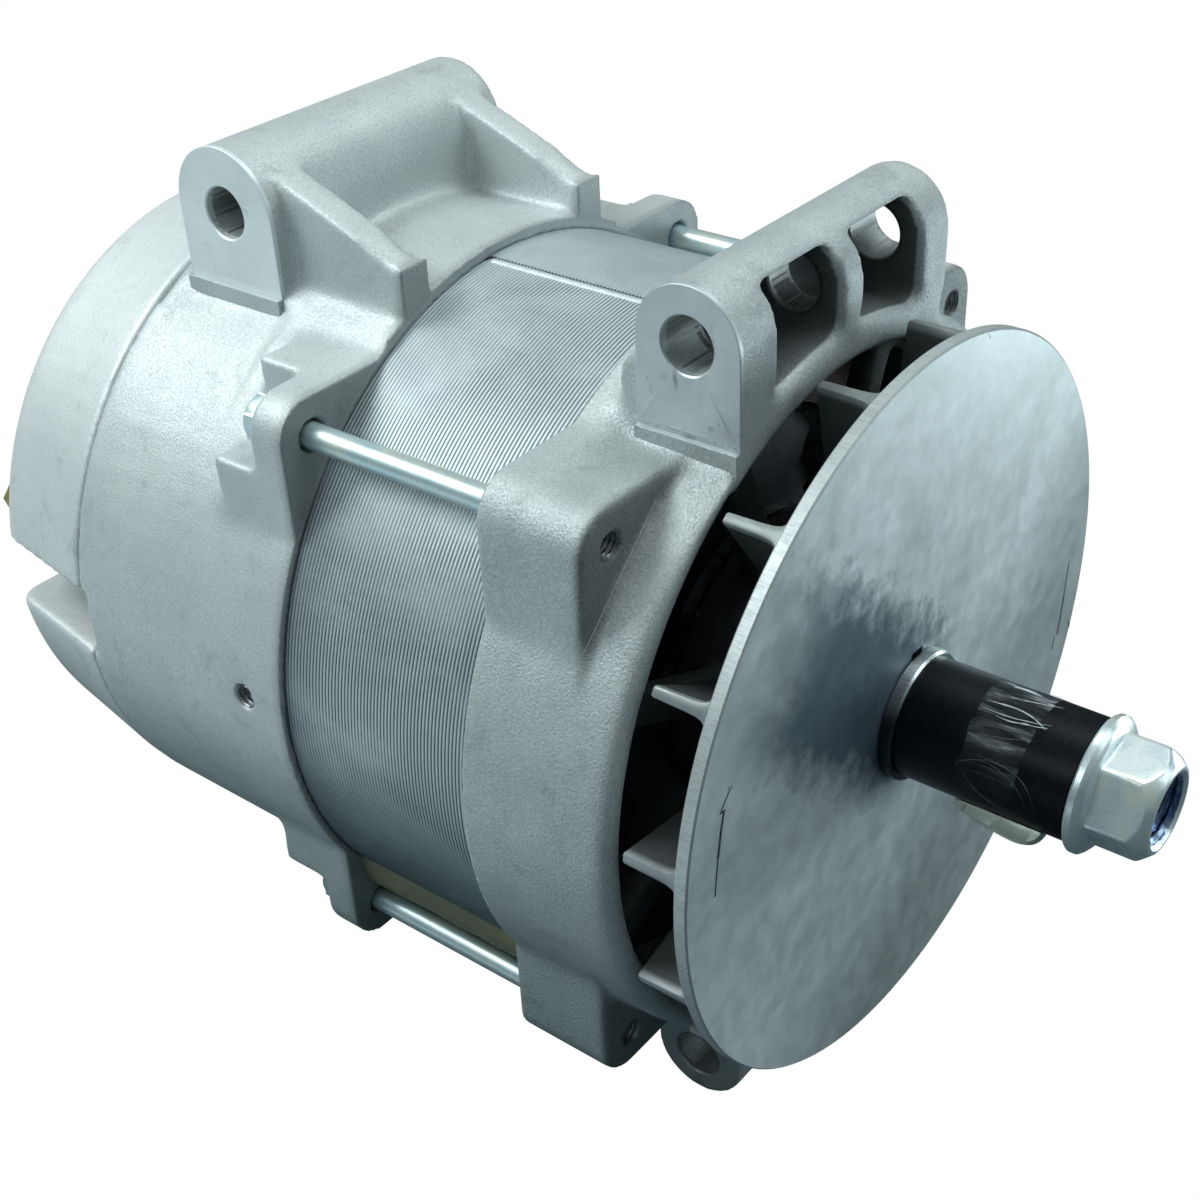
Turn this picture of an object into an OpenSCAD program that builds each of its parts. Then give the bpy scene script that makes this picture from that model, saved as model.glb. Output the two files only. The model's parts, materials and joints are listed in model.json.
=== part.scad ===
// Heavy duty truck alternator with pad mounting bosses.
// The shaft lies along Y, the drive end faces -Y, and +Z is up.
// Y = 0 is the fan's front face, where a pulley's hub seats.

/* [Housings] */
// How far the drive end ring stands out from the core
de_proud = 2; // [1.5:0.1:3]
// How much smaller the drive end ring's radius is at its front lip
de_draft = 0.8; // [0.2:0.1:1.5]
// Thickness of the drive end ring at its open mouth
de_mouth_wall = 7; // [6.5:0.5:9]
// Length of the drive end housing along the shaft
de_depth = 40; // [38:0.5:46]
// How far the rear housing stands out from the core
re_proud = 1.9; // [1.5:0.1:3]
// How much smaller the rear housing's radius is at the cover seam
re_draft = 0.6; // [0.2:0.1:1.5]
// Length of the rear housing along the shaft
re_depth = 75; // [72:1:82]
// Wall thickness of the housings
wall = 4.6; // [4:0.1:5.4]
// Thickness of the spoked end walls
web_t = 6; // [5:0.5:8]
// Number of spokes in the drive end wall
spokes = 8; // [6:1:10]
// Width of one spoke
spoke_w = 9; // [7:0.5:11]
// Radius of the bolt lugs' corners round the through bolts
lug_corner_r = 9.8; // [8.5:0.1:11]
// Clear gap between the core and each through bolt
rod_gap = 5.1; // [4:0.1:6]
// Length of the drive end bolt lugs
de_lug_len = 27.3; // [20:0.1:34]
// Length of the rear bolt lugs
re_lug_len = 25; // [20:0.5:32]
// Thickness of rear lug under each bolt head
re_lug_seat = 11; // [8:0.5:15]

/* [Mounting bosses] */
// Radius of the mounting bolt holes
boss_hole_r = 6.5; // [5.5:0.1:6.8]
// Distance between the end faces of each top boss
boss_span = 84; // [78:1:90]
// Height of the mounting holes above the top of the core
boss_rise = 11.7; // [11:0.1:16]
// Radius of the front boss around its hole
front_boss_r = 13; // [12:0.1:14.5]
// Radius of the rear boss around its hole
rear_boss_r = 16; // [14:0.1:18]
// Distance from the cover seam back to the rear hole
rear_boss_back = 23; // [20:0.5:28]
// Thickness of the drilled left block of the front boss
boss_block_t = 14; // [11:0.5:16]
// Thickness of the middle web of the front boss
boss_web_t = 8.5; // [6:0.5:10]
// Thickness of the right end wall of the front boss
boss_wall_t = 12; // [9:0.5:14]
// Thickness of the sloping gussets of the rear boss
gusset_t = 9; // [7:0.5:11]
// Distance of each gusset from the end of its boss
gusset_inset = 5; // [3:0.5:7]
// Depth that each milled face lies below the raw casting
mill_depth = 1.5; // [0.8:0.1:2]
// Drop from the mounting holes to the lower edge of the milled faces
mill_drop = 20.5; // [19:0.1:22]
// Length of the lower adjusting ear along its hole
ear_len = 24; // [18:1:30]

/* [Stator] */
// Outer radius of the laminated core
core_r = 90.3; // [89.5:0.1:91]
// Length of core that shows between the housings
core_show = 57; // [53:0.5:61]
// Length of core seated in each housing
register = 4; // [3:0.5:5]
// Depth of the winding slots from the core's bore
slot_depth = 15.5; // [14:0.1:16.5]
// Number of winding slots
slots = 36; // [24:12:48]
// Width of one slot
slot_w = 4.6; // [4:0.1:4.8]
// Thickness of the solid core behind the slots
yoke_t = 14.3; // [13:0.1:16]
// Length of the end turns beyond the core
end_turn = 9; // [7:0.5:10]

/* [Through bolts] */
// Radius of the through bolts
rod_r = 3.175; // [2.8:0.025:3.4]
// Clearance of each through bolt in its tapped hole
rod_fit = 0.05; // [0.03:0.01:0.1]
// Clearance of each through bolt in the rear lug
rod_slack = 0.95; // [0.7:0.05:1.2]
// Width across flats of the through bolt heads
rod_head_af = 11; // [10:0.1:12]
// Height of the through bolt heads
rod_head_h = 5.2; // [4:0.1:6]
// Thickness of the washers
washer_t = 1.2; // [0.8:0.1:1.6]

/* [Fan] */
// Radius of the fan
fan_r = 92; // [88:0.5:94]
// Thickness of the fan's disc
fan_disc = 3.4; // [2.8:0.1:4]
// Depth of the fan's blades
blade_h = 14.1; // [12:0.1:17]
// Thickness of a fan blade
blade_t = 3; // [2.4:0.1:3.6]
// Number of fan blades
blades = 15; // [11:1:17]
// Gap between the blades and the drive end lip
fan_gap = 3.5; // [2.5:0.1:5]
// Radius of the fan's hub
fan_hub_r = 19; // [17.5:0.5:22]

/* [Shaft end] */
// Radius of the shaft where a pulley fits
shaft_r = 11.11; // [10.5:0.01:11.4]
// Length of the pulley seat
seat_len = 46.5; // [42:0.5:52]
// Outer radius of the black sleeve
sleeve_r = 14.9; // [14:0.1:15.5]
// Radius of the shaft thread
thread_r = 8; // [7.5:0.05:8.5]
// Length of the shaft nut with its flange
nut_len = 17.5; // [15:0.5:20]
// Thickness of the nut's flange
nut_flange = 3.5; // [2.5:0.1:4.5]
// Radius of the nut's flange
nut_flange_r = 16.6; // [16:0.1:18]
// Width across flats of the nut
nut_af = 24; // [23.5:0.1:26]
// Depth of the shaft's end inside the nut
shaft_recess = 5; // [3:0.5:7]
// Diameter of the taped half moon key
key_d = 22; // [19:0.5:24]
// Height of the half moon key
key_h = 9; // [8:0.5:10]
// Thickness of the half moon key
key_t = 4.76; // [4:0.1:5.5]
// Width of the tape band
tape_w = 18; // [15:0.5:22]

/* [Rotor] */
// Air gap between the rotor and the stator core
air_gap = 0.5; // [0.4:0.05:0.8]
// Length of the rotor
rotor_len = 66; // [62:1:68]
// Thickness of each pole plate
pole_t = 14; // [12:0.5:16]
// Number of claws on each pole
claws = 6; // [5:1:7]
// Gap between neighbouring claws at their inner side
claw_gap = 2.66; // [2.2:0.02:4]
// How much each claw's width changes from its middle to its root and its tip
claw_taper = 7; // [5:0.5:8]
// Radial thickness of a claw
claw_t = 11; // [9:0.5:12]
// Radius of the shaft inside the rotor
core_shaft_r = 15; // [14:0.25:16]
// The iron hub's share of the radial space between shaft and coil rim
hub_share = 0.344; // [0.3:0.004:0.4]
// Wall of the field coil's bobbin
bobbin_t = 1.6; // [1.2:0.1:2]

/* [Bearings] */
// Outer radius of the front bearing
fb_or = 31; // [29:0.5:32]
// Bore radius of the front bearing
fb_ir = 12.5; // [12:0.1:13]
// Width of the front bearing
fb_w = 17; // [15:0.5:18]
// Outer radius of the rear bearing
rb_or = 20; // [18.5:0.5:21]
// Bore radius of the rear bearing
rb_ir = 8.5; // [8.2:0.1:8.8]
// Width of the rear bearing
rb_w = 12; // [10:0.5:14]
// Radial clearance of balls and fitted rings
fit = 0.02; // [0.01:0.01:0.05]
// Wall of the bearing hubs in the housings
hub_wall = 7; // [6:0.5:8]

/* [Rear cover] */
// Length of the rear cover
cover_depth = 40; // [37:0.5:44]
// How much smaller the cover's radius is at its rounded back edge
cover_draft = 5.6; // [4:0.1:7]
// Radial width of the cover's rounded back edge
cover_round = 5; // [4:0.5:6]
// Wall of the rear cover
cover_wall = 3; // [2.5:0.1:3.5]
// Width of the cut-out at the output terminal
notch_w = 18; // [17:0.5:22]
// Height of the middle of the terminal cut-out
notch_z = 3; // [1:0.5:5]
// Number of vent slots in the cover's back
vents = 16; // [10:1:18]

/* [Rectifier and brushes] */
// Distance of the diodes and the output stud from the heat sinks' outer edge
diode_inset = 16; // [14:0.5:18]
// Radius of a diode
diode_r = 6.35; // [5.5:0.05:6.5]
// Radial width of the heat sinks
sink_band = 38; // [34:0.5:41]
// Thickness of each heat sink
sink_t = 4; // [3:0.5:5]
// Gap between the two heat sinks
sink_gap = 9; // [8:0.5:11]
// Radius of the slip rings
ring_r = 16; // [14:0.5:17]
// Width of a slip ring
ring_w = 7; // [6:0.5:8]
// Width of a brush
brush_w = 5.6; // [5:0.1:6]
// Length of a brush
brush_len = 18; // [15:0.5:20]
// Radius of the output stud
stud_r = 4; // [3:0.1:4.5]
// Length of output stud that stands clear
stud_free = 22; // [18:0.5:24]
// Radius of the ground stud
ground_r = 3; // [2.5:0.1:3.5]

/* [Hidden] */
$fn = 72;
eps = 0.5;

// Places along the shaft, worked out from the front to the back
fan_back_y = fan_disc + blade_h;
de_front_y = fan_back_y + fan_gap;
de_rear_y = de_front_y + de_depth;
core_y0 = de_rear_y - register;
re_front_y = de_rear_y + core_show;
core_y1 = re_front_y + register;
re_rear_y = re_front_y + re_depth;
cover_rear_y = re_rear_y + cover_depth;
core_mid_y = (core_y0 + core_y1) / 2;

// Outer radii, which all follow the core
de_r = core_r + de_proud;
de_lip_r = de_r - de_draft;
de_mouth_r = de_lip_r - de_mouth_wall;
re_r = core_r + re_proud;
re_seam_r = re_r - re_draft;
slot_r = core_r - yoke_t;
core_bore_r = slot_r - slot_depth;
bolt_off = (core_r + rod_gap + rod_r) / sqrt(2);
lug_half = bolt_off + lug_corner_r;

// Drive end housing
lip_round = 3.5;
de_lug_y = de_rear_y - de_lug_len;
de_inner_r = de_r - wall - 1.5;
fb_y0 = de_front_y + 6;
fb_y1 = fb_y0 + fb_w;
fb_hub_r = fb_or + hub_wall;
hub_lip = 2.5;
de_web_y = de_front_y + 9;
window_r = de_mouth_r - 4;
lug_thread_len = 9;
retainer_circle_r = fb_or + 3.6;
retainer_t = 3;
screw_r = 1.5;

// Mounting bosses
boss_half = boss_span / 2;
boss_height = core_r + boss_rise;
mill_floor = boss_height - mill_drop;
front_boss_y = de_front_y + front_boss_r;
rear_boss_y = re_rear_y - rear_boss_back;
boss_base_z = mill_floor - 16;
pocket_floor_r = de_r + 0.4;
pocket_r = front_boss_r - 3;
gusset_tip_z = boss_height - 5;
ear_z = -boss_height + 0.5;

// Rear housing
re_inner_r = re_seam_r - wall;
rb_hub_r = rb_or + hub_wall - 2;
re_web_y = re_front_y + 32;
rb_y0 = re_web_y;
rb_y1 = rb_y0 + rb_w;
re_web_y1 = re_web_y + web_t;
re_spokes = 8;
re_lug_y1 = re_front_y + re_lug_len;
head_seat_y = re_front_y + re_lug_seat;
head_room = 8.2;
head_cut = bolt_off - head_room;
spot_face_r = rod_head_af / 2 + 1.5;
side_hole_r = 3.2;
side_hole_y = re_front_y + 13.4;
side_hole_z = 4.5;
side_pad_len = 6.5;
side_pad_x = re_inner_r - side_pad_len;

// Fan
fan_turn = 101.8;
keyway_top = shaft_r + 6.7;
keyway_w = 5;
fan_key_w = keyway_w - 0.2;
seat_washer_t = 1.2;
seat_washer_r = 16.5;

// Taped key
key_angle = 232;
key_y = -29;
tape_y = -22;

// Rotor
rotor_r = core_bore_r - air_gap;
rotor_y0 = core_mid_y - rotor_len / 2;
rotor_y1 = core_mid_y + rotor_len / 2;
claw_len = rotor_len - 6;
claw_mid_w = PI * (rotor_r - claw_t) / claws - claw_gap;
claw_root = claw_mid_w + claw_taper;
claw_tip = claw_mid_w - claw_taper;
claw_relief = 0.2;
coil_gap = 0.4;
coil_r = rotor_r - claw_t - 2;
coil_hub_r = core_shaft_r + (coil_r - core_shaft_r) * hub_share;
shaft_rear_y = rb_y1 + 34;
shaft_step = 0.5;
field_lead_angles = [30, 210];
field_wire_r = 0.9;
field_lead_r = rb_ir - shaft_step - field_wire_r - 0.1;
field_lead_y = rotor_y1 + 2;
field_hole_r = coil_r - 8;
nut_front_y = -seat_len - nut_len;

// Brushes and slip rings
rings_y0 = rb_y1 + 8;
ring_gap = 4;
ring_ys = [rings_y0, rings_y0 + ring_w + ring_gap];
ring_hub_r = ring_r - 3;
brush_play = 0.1;
brush_z0 = ring_r + 0.05;
brush_z1 = brush_z0 + brush_len;
holder_z0 = ring_r + 6;
spring_len = 10;
spring_z1 = brush_z1 + spring_len;
holder_z1 = spring_z1 + 4;
holder_half = 8;
holder_y0 = rings_y0 - 3;
holder_y1 = ring_ys[1] + ring_w + 3;
spring_r = 1.9;
spring_wire = 0.4;
spring_turns = 6;

// Rectifier
sink_out_r = re_inner_r - 5;
sink_in_r = sink_out_r - sink_band;
diode_circle_r = sink_out_r - diode_inset;
neg_y0 = re_web_y1 + 10;
neg_y1 = neg_y0 + sink_t;
pos_y0 = neg_y1 + sink_gap;
pos_y1 = pos_y0 + sink_t;
sink_start = 171.2;
sink_sweep = 197;
diode_step = 26;
diode_angles = [for (i = [0:5]) 205 + i * diode_step];
post_angles = [180, 270, 360];
post_r = 6;
post_circle_r = diode_circle_r - 14;
stud_angle = asin(notch_z / diode_circle_r);
stud_x = -diode_circle_r * cos(stud_angle);
insulator_r = notch_w / 2 - 0.6;
insulator_y1 = re_rear_y + 10;
insulator_block = 18;
thread_relief = 0.3;
stud_neck_r = stud_r - thread_relief;
output_nut_h = 7.5;
output_washer_t = 1.6;
stud_y1 = insulator_y1 + stud_free;
lead_angles = [218, 270, 322];
lead_r = 1.5;
tail_r = 1.2;
lead_circle_r = re_inner_r - 2.3;
lead_start_y = core_y1 + end_turn - 2.5;
lead_y = (neg_y1 + pos_y0) / 2;
chord_r = diode_circle_r * cos(diode_step / 2);
chord_len = 2 * diode_circle_r * sin(diode_step / 2) + 2;

// Voltage regulator and capacitor
regulator_w = 40;
regulator_t = 9;
regulator_h = 26;
regulator_ribs = 7;
capacitor_r = 8.5;
capacitor_len = 24;
capacitor_circle_r = 50;

// Rear cover
cover_edge_r = re_seam_r - cover_draft;
cover_back_r = cover_edge_r - cover_round;
cover_bolt_circle_r = cover_back_r - 4.5;
cover_bolt_angles = [166, 76, -14, -104];
cover_bolt_r = 2.5;
cover_bolt_af = 8;
cover_bolt_h = 5;
cover_post_r = 5.5;
cover_post_len = 8;
vent_in_r = 30;
vent_len = 28;
vent_w = 5;
rear_bore_r = 14;
ground_x = 50;
ground_z = -30;
ground_neck_r = ground_r - thread_relief;
ground_pad_r = 8;
ground_pad_t = 1;
ground_nut_y1 = cover_rear_y + ground_pad_t + 5;

// A cylinder along Y between two places
module ycyl(r, y0, y1) {
    translate([0, y1, 0]) rotate([90, 0, 0]) cylinder(r = r, h = y1 - y0);
}

// A drawn outline in X and Z, extruded along Y
module along_y(y0, y1) {
    translate([0, y1, 0]) rotate([90, 0, 0]) linear_extrude(y1 - y0) children();
}

// A drawn outline in Y and Z, extruded along X
module along_x(x0, x1) {
    translate([x0, 0, 0]) rotate([90, 0, 90]) linear_extrude(x1 - x0) children();
}

// A drawn profile of radius and Y, turned round the shaft
module around_y() {
    rotate([-90, 0, 0]) rotate_extrude() children();
}

// A flat ring along Y
module yring(r_out, r_in, y0, y1) {
    difference() {
        ycyl(r_out, y0, y1);
        ycyl(r_in, y0 - eps, y1 + eps);
    }
}

// Places its children at an angle round the shaft, measured from +X towards +Z
module at_angle(a, r = 0) {
    rotate([0, -a, 0]) translate([r, 0, 0]) children();
}

// A place for each of the four through bolts
module at_bolts() {
    for (sx = [-1, 1], sz = [-1, 1]) translate([sx * bolt_off, 0, sz * bolt_off]) children();
}

// A hexagonal prism along Y
module yhex(af, y0, y1) {
    along_y(y0, y1) circle(r = af / sqrt(3), $fn = 6);
}

// The rounded square that gives all four bolt lugs their outline
module lug_outline() {
    union() {
        square([2 * bolt_off, 2 * lug_half], center = true);
        square([2 * lug_half, 2 * bolt_off], center = true);
        for (sx = [-1, 1], sz = [-1, 1])
            translate([sx * bolt_off, sz * bolt_off]) circle(lug_corner_r);
    }
}

// A closed arch round a hole, standing on a straight base
module arch_outline(y, z, r, base_z) {
    union() {
        translate([y, z]) circle(r);
        translate([y - r, min(z, base_z)]) square([2 * r, abs(z - base_z)]);
    }
}

// A spoked end wall between a hub and a ring
module spider(hub_r, ring_in, ring_out, y0, count, turn) {
    yring(ring_out, ring_in, y0, y0 + web_t);
    for (i = [0:count - 1]) at_angle(i * 360 / count + turn)
        translate([hub_r - 2, y0, -spoke_w / 2]) cube([ring_in - hub_r + 4, web_t, spoke_w]);
}

// A machined left end face: the casting is cut back above a small ledge
module mill_cut(y, r) {
    translate([-boss_half - mill_depth - eps, y - r - 2, mill_floor])
        cube([mill_depth + eps, 2 * r + 4, boss_height]);
}

module drive_end_housing() {
    color([0.70, 0.73, 0.72]) difference() {
        union() {
            difference() {
                union() {
                    around_y() union() {
                        polygon([[de_mouth_r - 8, de_front_y + lip_round],
                            [de_lip_r, de_front_y + lip_round], [de_r, de_rear_y],
                            [de_mouth_r - 8, de_rear_y]]);
                        translate([de_lip_r - lip_round, de_front_y + lip_round])
                            circle(lip_round);
                    }
                    along_y(de_lug_y, de_rear_y) lug_outline();
                    along_x(-boss_half - mill_depth, boss_half)
                        arch_outline(front_boss_y, boss_height, front_boss_r, boss_base_z);
                    along_x(-boss_half + 1, boss_half - 1) front_boss_foot();
                    along_x(-boss_half, -boss_half + ear_len)
                        arch_outline(front_boss_y, ear_z, front_boss_r, -boss_base_z);
                }
                ycyl(de_mouth_r, de_front_y - eps, de_web_y);
                ycyl(de_inner_r, de_web_y - eps, de_rear_y + eps);
                ycyl(core_r + fit, core_y0, de_rear_y + eps);
                front_boss_pockets();
            }
            spider(fb_hub_r, window_r, de_inner_r + 1, de_web_y, spokes, 180 / spokes);
            yring(fb_hub_r, fb_or + fit, fb_y0 - hub_lip, fb_y1);
            yring(fb_or + 1, fb_ir + 6, fb_y0 - hub_lip, fb_y0);
        }
        mill_cut(front_boss_y, front_boss_r);
        at_bolts() ycyl(rod_r + rod_fit, de_lug_y - eps, de_rear_y + eps);
        translate([0, front_boss_y, boss_height])
            along_x(-boss_half - 3, boss_half + 1) circle(boss_hole_r);
        translate([0, front_boss_y, ear_z])
            along_x(-boss_half - 1, -boss_half + ear_len + 1) circle(boss_hole_r);
        retainer_holes();
    }
}

// The foot that braces the front boss from behind
module front_boss_foot() {
    y = front_boss_y + front_boss_r;
    polygon([[y - 2, boss_base_z], [y - 2, boss_height - 2], [y + 1, boss_height - 4],
        [y + 5.5, boss_height - 9], [y + 6.3, mill_floor], [y + 6.3, boss_base_z]]);
}

// The two pockets that open forward between the front boss webs
module front_boss_pockets() {
    x0 = -boss_half + boss_block_t;
    x3 = boss_half - boss_wall_t;
    middle = x0 + (x3 - x0) / 2;
    difference() {
        for (span = [[x0, middle - boss_web_t / 2], [middle + boss_web_t / 2, x3]])
            along_x(span[0], span[1]) union() {
                translate([de_front_y - eps, boss_base_z])
                    square([front_boss_r + eps, boss_height + pocket_r - boss_base_z]);
                translate([front_boss_y, boss_height]) circle(pocket_r);
                translate([front_boss_y - 1, boss_base_z])
                    square([pocket_r + 1, boss_height - boss_base_z]);
            }
        ycyl(pocket_floor_r, de_front_y - 2, de_rear_y);
    }
}

// Screw holes through the front hub for the bearing's retainer plate
module retainer_holes() {
    for (i = [0:3]) at_angle(45 + i * 90, retainer_circle_r)
        ycyl(screw_r + 0.2, fb_y0 - hub_lip - eps, fb_y1 + eps);
}

module rear_housing() {
    color([0.72, 0.75, 0.74]) difference() {
        union() {
            difference() {
                union() {
                    around_y() polygon([[re_inner_r - wall, re_front_y], [re_r, re_front_y],
                        [re_seam_r, re_rear_y], [re_inner_r - wall, re_rear_y]]);
                    rear_lugs();
                    rear_boss();
                }
                ycyl(re_inner_r, re_front_y - eps, re_rear_y + eps);
                ycyl(core_r + fit, re_front_y - eps, core_y1);
            }
            spider(rb_hub_r, re_inner_r - 6, re_inner_r + 1, re_web_y, re_spokes, 0);
            yring(rb_hub_r, rb_or + fit, rb_y0, rb_y1 + 3);
            yring(rb_or + 1, rb_ir + 4, rb_y1, rb_y1 + 3);
            translate([0, side_hole_y, side_hole_z])
                along_x(-re_inner_r - 1, -side_pad_x) circle(side_hole_r + 4.5);
            for (a = post_angles) at_angle(a, post_circle_r) ycyl(post_r, re_web_y1 - 1, neg_y0);
            for (a = cover_bolt_angles) at_angle(a, cover_bolt_circle_r) cover_post();
        }
        mill_cut(rear_boss_y, rear_boss_r);
        at_bolts() ycyl(rod_r + rod_slack, re_front_y - eps, re_lug_y1 + eps);
        at_bolts() ycyl(spot_face_r, head_seat_y, head_seat_y + 10);
        translate([0, rear_boss_y, boss_height])
            along_x(-boss_half - 3, boss_half + 1) circle(boss_hole_r);
        translate([0, side_hole_y, side_hole_z])
            along_x(-re_r - 1, -side_pad_x + 1) circle(side_hole_r);
        for (a = post_angles) at_angle(a, post_circle_r)
            ycyl(screw_r + 0.2, re_web_y1 + 2, neg_y0 + eps);
        for (a = cover_bolt_angles) at_angle(a, cover_bolt_circle_r)
            ycyl(cover_bolt_r + rod_fit, re_rear_y - cover_post_len - 1, re_rear_y + eps);
        for (a = lead_angles) at_angle(a, lead_circle_r)
            ycyl(lead_r + 1, re_web_y - 1, re_web_y1 + 1);
        terminal_notch(re_rear_y - 2);
    }
}

// The rear bolt lugs, each with a notch in its corner for the bolt head
module rear_lugs() {
    difference() {
        along_y(re_front_y, re_lug_y1) lug_outline();
        for (sx = [0, 1], sz = [0, 1]) mirror([sx, 0, 0]) mirror([0, 0, sz])
            translate([head_cut, head_seat_y, head_cut])
                cube([lug_half, re_lug_len, lug_half]);
    }
}

// The rear top boss: a solid arch bar with two gussets that slope forward
module rear_boss() {
    along_x(-boss_half - mill_depth, boss_half)
        arch_outline(rear_boss_y, boss_height, rear_boss_r, boss_base_z);
    for (side = [-1, 1]) {
        inner = side * (boss_half - gusset_inset - gusset_t / 2);
        along_x(inner - gusset_t / 2, inner + gusset_t / 2) polygon([
            [re_front_y, boss_base_z], [re_front_y, gusset_tip_z],
            [rear_boss_y - rear_boss_r * 0.75, boss_height + rear_boss_r * 0.66],
            [rear_boss_y, boss_height], [rear_boss_y, boss_base_z]]);
    }
    intersection() {
        ycyl(re_r + 0.9, re_front_y, re_rear_y - 3);
        translate([-boss_half - mill_depth, re_front_y, 0])
            cube([boss_span + 2 * mill_depth, re_depth - 3, 2 * re_r]);
    }
}

// A post inside the rear housing that takes one cover bolt
module cover_post() {
    ycyl(cover_post_r, re_rear_y - cover_post_len, re_rear_y);
    translate([0, re_rear_y - cover_post_len, -cover_post_r + 1.5])
        cube([re_inner_r - cover_bolt_circle_r + 1, cover_post_len, 2 * cover_post_r - 3]);
}

// The cut-out that reaches the output terminal from behind and from the left
module terminal_notch(y0) {
    translate([-re_r - 5, y0, notch_z - notch_w / 2])
        cube([re_r + 5 - (diode_circle_r - insulator_r - 2), cover_rear_y + 5 - y0, notch_w]);
}

module rear_cover() {
    color([0.73, 0.76, 0.75]) difference() {
        union() {
            difference() {
                around_y() cover_profile(0);
                around_y() cover_profile(cover_wall);
                cover_vents();
            }
            for (a = cover_bolt_angles) at_angle(a, cover_bolt_circle_r)
                ycyl(cover_post_r, re_rear_y + 0.05, cover_rear_y - 1);
            terminal_walls();
            translate([ground_x, 0, ground_z])
                ycyl(ground_pad_r, cover_rear_y - 8, cover_rear_y + ground_pad_t);
        }
        for (a = cover_bolt_angles) at_angle(a, cover_bolt_circle_r)
            ycyl(cover_bolt_r + 0.3, re_rear_y - eps, cover_rear_y + eps);
        terminal_notch(re_rear_y - eps);
        translate([ground_x, 0, ground_z])
            ycyl(ground_neck_r + fit, cover_rear_y - 9, cover_rear_y + ground_pad_t + 1);
    }
}

// Half section of the cover, drawn smaller by the wall for its hollow
module cover_profile(t) {
    y0 = re_rear_y + 0.05 - (t > 0 ? 1 : 0);
    y1 = cover_rear_y - t;
    polygon([[0, y0], [re_seam_r - t, y0], [cover_edge_r - t, y1 - 6],
        [cover_edge_r - 0.5 - t, y1 - 3.6], [cover_back_r + 2.4 - t, y1 - 1],
        [cover_back_r - t, y1], [0, y1]]);
}

// Walls that close the cover's hollow beside the terminal cut-out
module terminal_walls() {
    x1 = -(diode_circle_r - insulator_r - 2) + cover_wall;
    intersection() {
        around_y() cover_profile(0);
        translate([-re_r, re_rear_y, notch_z - notch_w / 2 - cover_wall])
            cube([re_r + x1, cover_depth, notch_w + 2 * cover_wall]);
    }
}

// Radial air slots in the cover's back
module cover_vents() {
    for (i = [0:vents - 1]) at_angle(i * 360 / vents + 11)
        translate([vent_in_r, cover_rear_y - 10, -vent_w / 2]) cube([vent_len, 12, vent_w]);
    ycyl(rear_bore_r, cover_rear_y - 10, cover_rear_y + eps);
}

module stator_core() {
    color([0.55, 0.60, 0.60]) difference() {
        yring(core_r, core_bore_r, core_y0 + 0.05, core_y1 - 0.05);
        for (i = [0:slots - 1]) at_angle(i * 360 / slots)
            translate([core_bore_r - 2, core_y0 - 1, -slot_w / 2])
                cube([slot_r - core_bore_r + 2, core_y1 - core_y0 + 2, slot_w]);
    }
}

module stator_winding() {
    bar_w = slot_w - 2 * fit;
    color([0.72, 0.42, 0.20]) union() {
        for (i = [0:slots - 1]) at_angle(i * 360 / slots)
            translate([core_bore_r + 2.5, core_y0 - end_turn + 2, -bar_w / 2])
                cube([slot_r - core_bore_r - 2.5 - fit, core_y1 - core_y0 + 2 * end_turn - 4, bar_w]);
        for (y = [core_y0 - end_turn, core_y1 + end_turn - 5])
            yring(slot_r + 1.5, core_bore_r + 2.5, y, y + 5);
    }
}

module stator_leads() {
    color([0.60, 0.25, 0.15]) for (a = lead_angles) at_angle(a) {
        translate([lead_circle_r, 0, 0]) ycyl(lead_r, lead_start_y - lead_r, lead_y + lead_r);
        translate([slot_r + 1.5, lead_start_y, 0])
            rotate([0, 90, 0]) cylinder(r = tail_r, h = lead_circle_r - slot_r - 1.5);
        translate([chord_r, lead_y, 0])
            rotate([0, 90, 0]) cylinder(r = tail_r, h = lead_circle_r - chord_r);
        translate([chord_r, lead_y, 0]) cylinder(r = tail_r, h = chord_len, center = true);
    }
}

// One bearing ring with a round groove for the balls
module race(r_out, r_in, y0, y1, groove_r, ball_r) {
    around_y() difference() {
        translate([r_in, y0]) square([r_out - r_in, y1 - y0]);
        translate([groove_r, (y0 + y1) / 2]) circle(ball_r + fit);
    }
}

fb_pitch = (fb_or + fb_ir) / 2;
fb_ball = (fb_or - fb_ir) * 0.31;
rb_pitch = (rb_or + rb_ir) / 2;
rb_ball = (rb_or - rb_ir) * 0.31;
fb_count = 7;
rb_count = 8;
race_t = 0.28;

module balls(count, pitch, r, y) {
    for (i = [0:count - 1]) at_angle(i * 360 / count, pitch) translate([0, y, 0]) sphere(r = r);
}

module cage(count, pitch, r, y) {
    difference() {
        yring(pitch + r * 0.22, pitch - r * 0.22, y - r * 1.2, y + r * 1.2);
        for (i = [0:count - 1]) at_angle(i * 360 / count, pitch) translate([0, y, 0])
            rotate([0, 90, 0]) cylinder(r = r + 0.06, h = 2 * r, center = true);
    }
}

module front_bearing_outer_race() {
    color([0.75, 0.76, 0.78])
        race(fb_or, fb_or - (fb_or - fb_ir) * race_t, fb_y0, fb_y1, fb_pitch, fb_ball);
}

module front_bearing_inner_race() {
    color([0.75, 0.76, 0.78])
        race(fb_ir + (fb_or - fb_ir) * race_t, fb_ir, fb_y0, fb_y1, fb_pitch, fb_ball);
}

module front_bearing_balls() {
    color([0.85, 0.86, 0.88]) balls(fb_count, fb_pitch, fb_ball, (fb_y0 + fb_y1) / 2);
}

module front_bearing_cage() {
    color([0.70, 0.62, 0.40]) cage(fb_count, fb_pitch, fb_ball, (fb_y0 + fb_y1) / 2);
}

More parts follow.
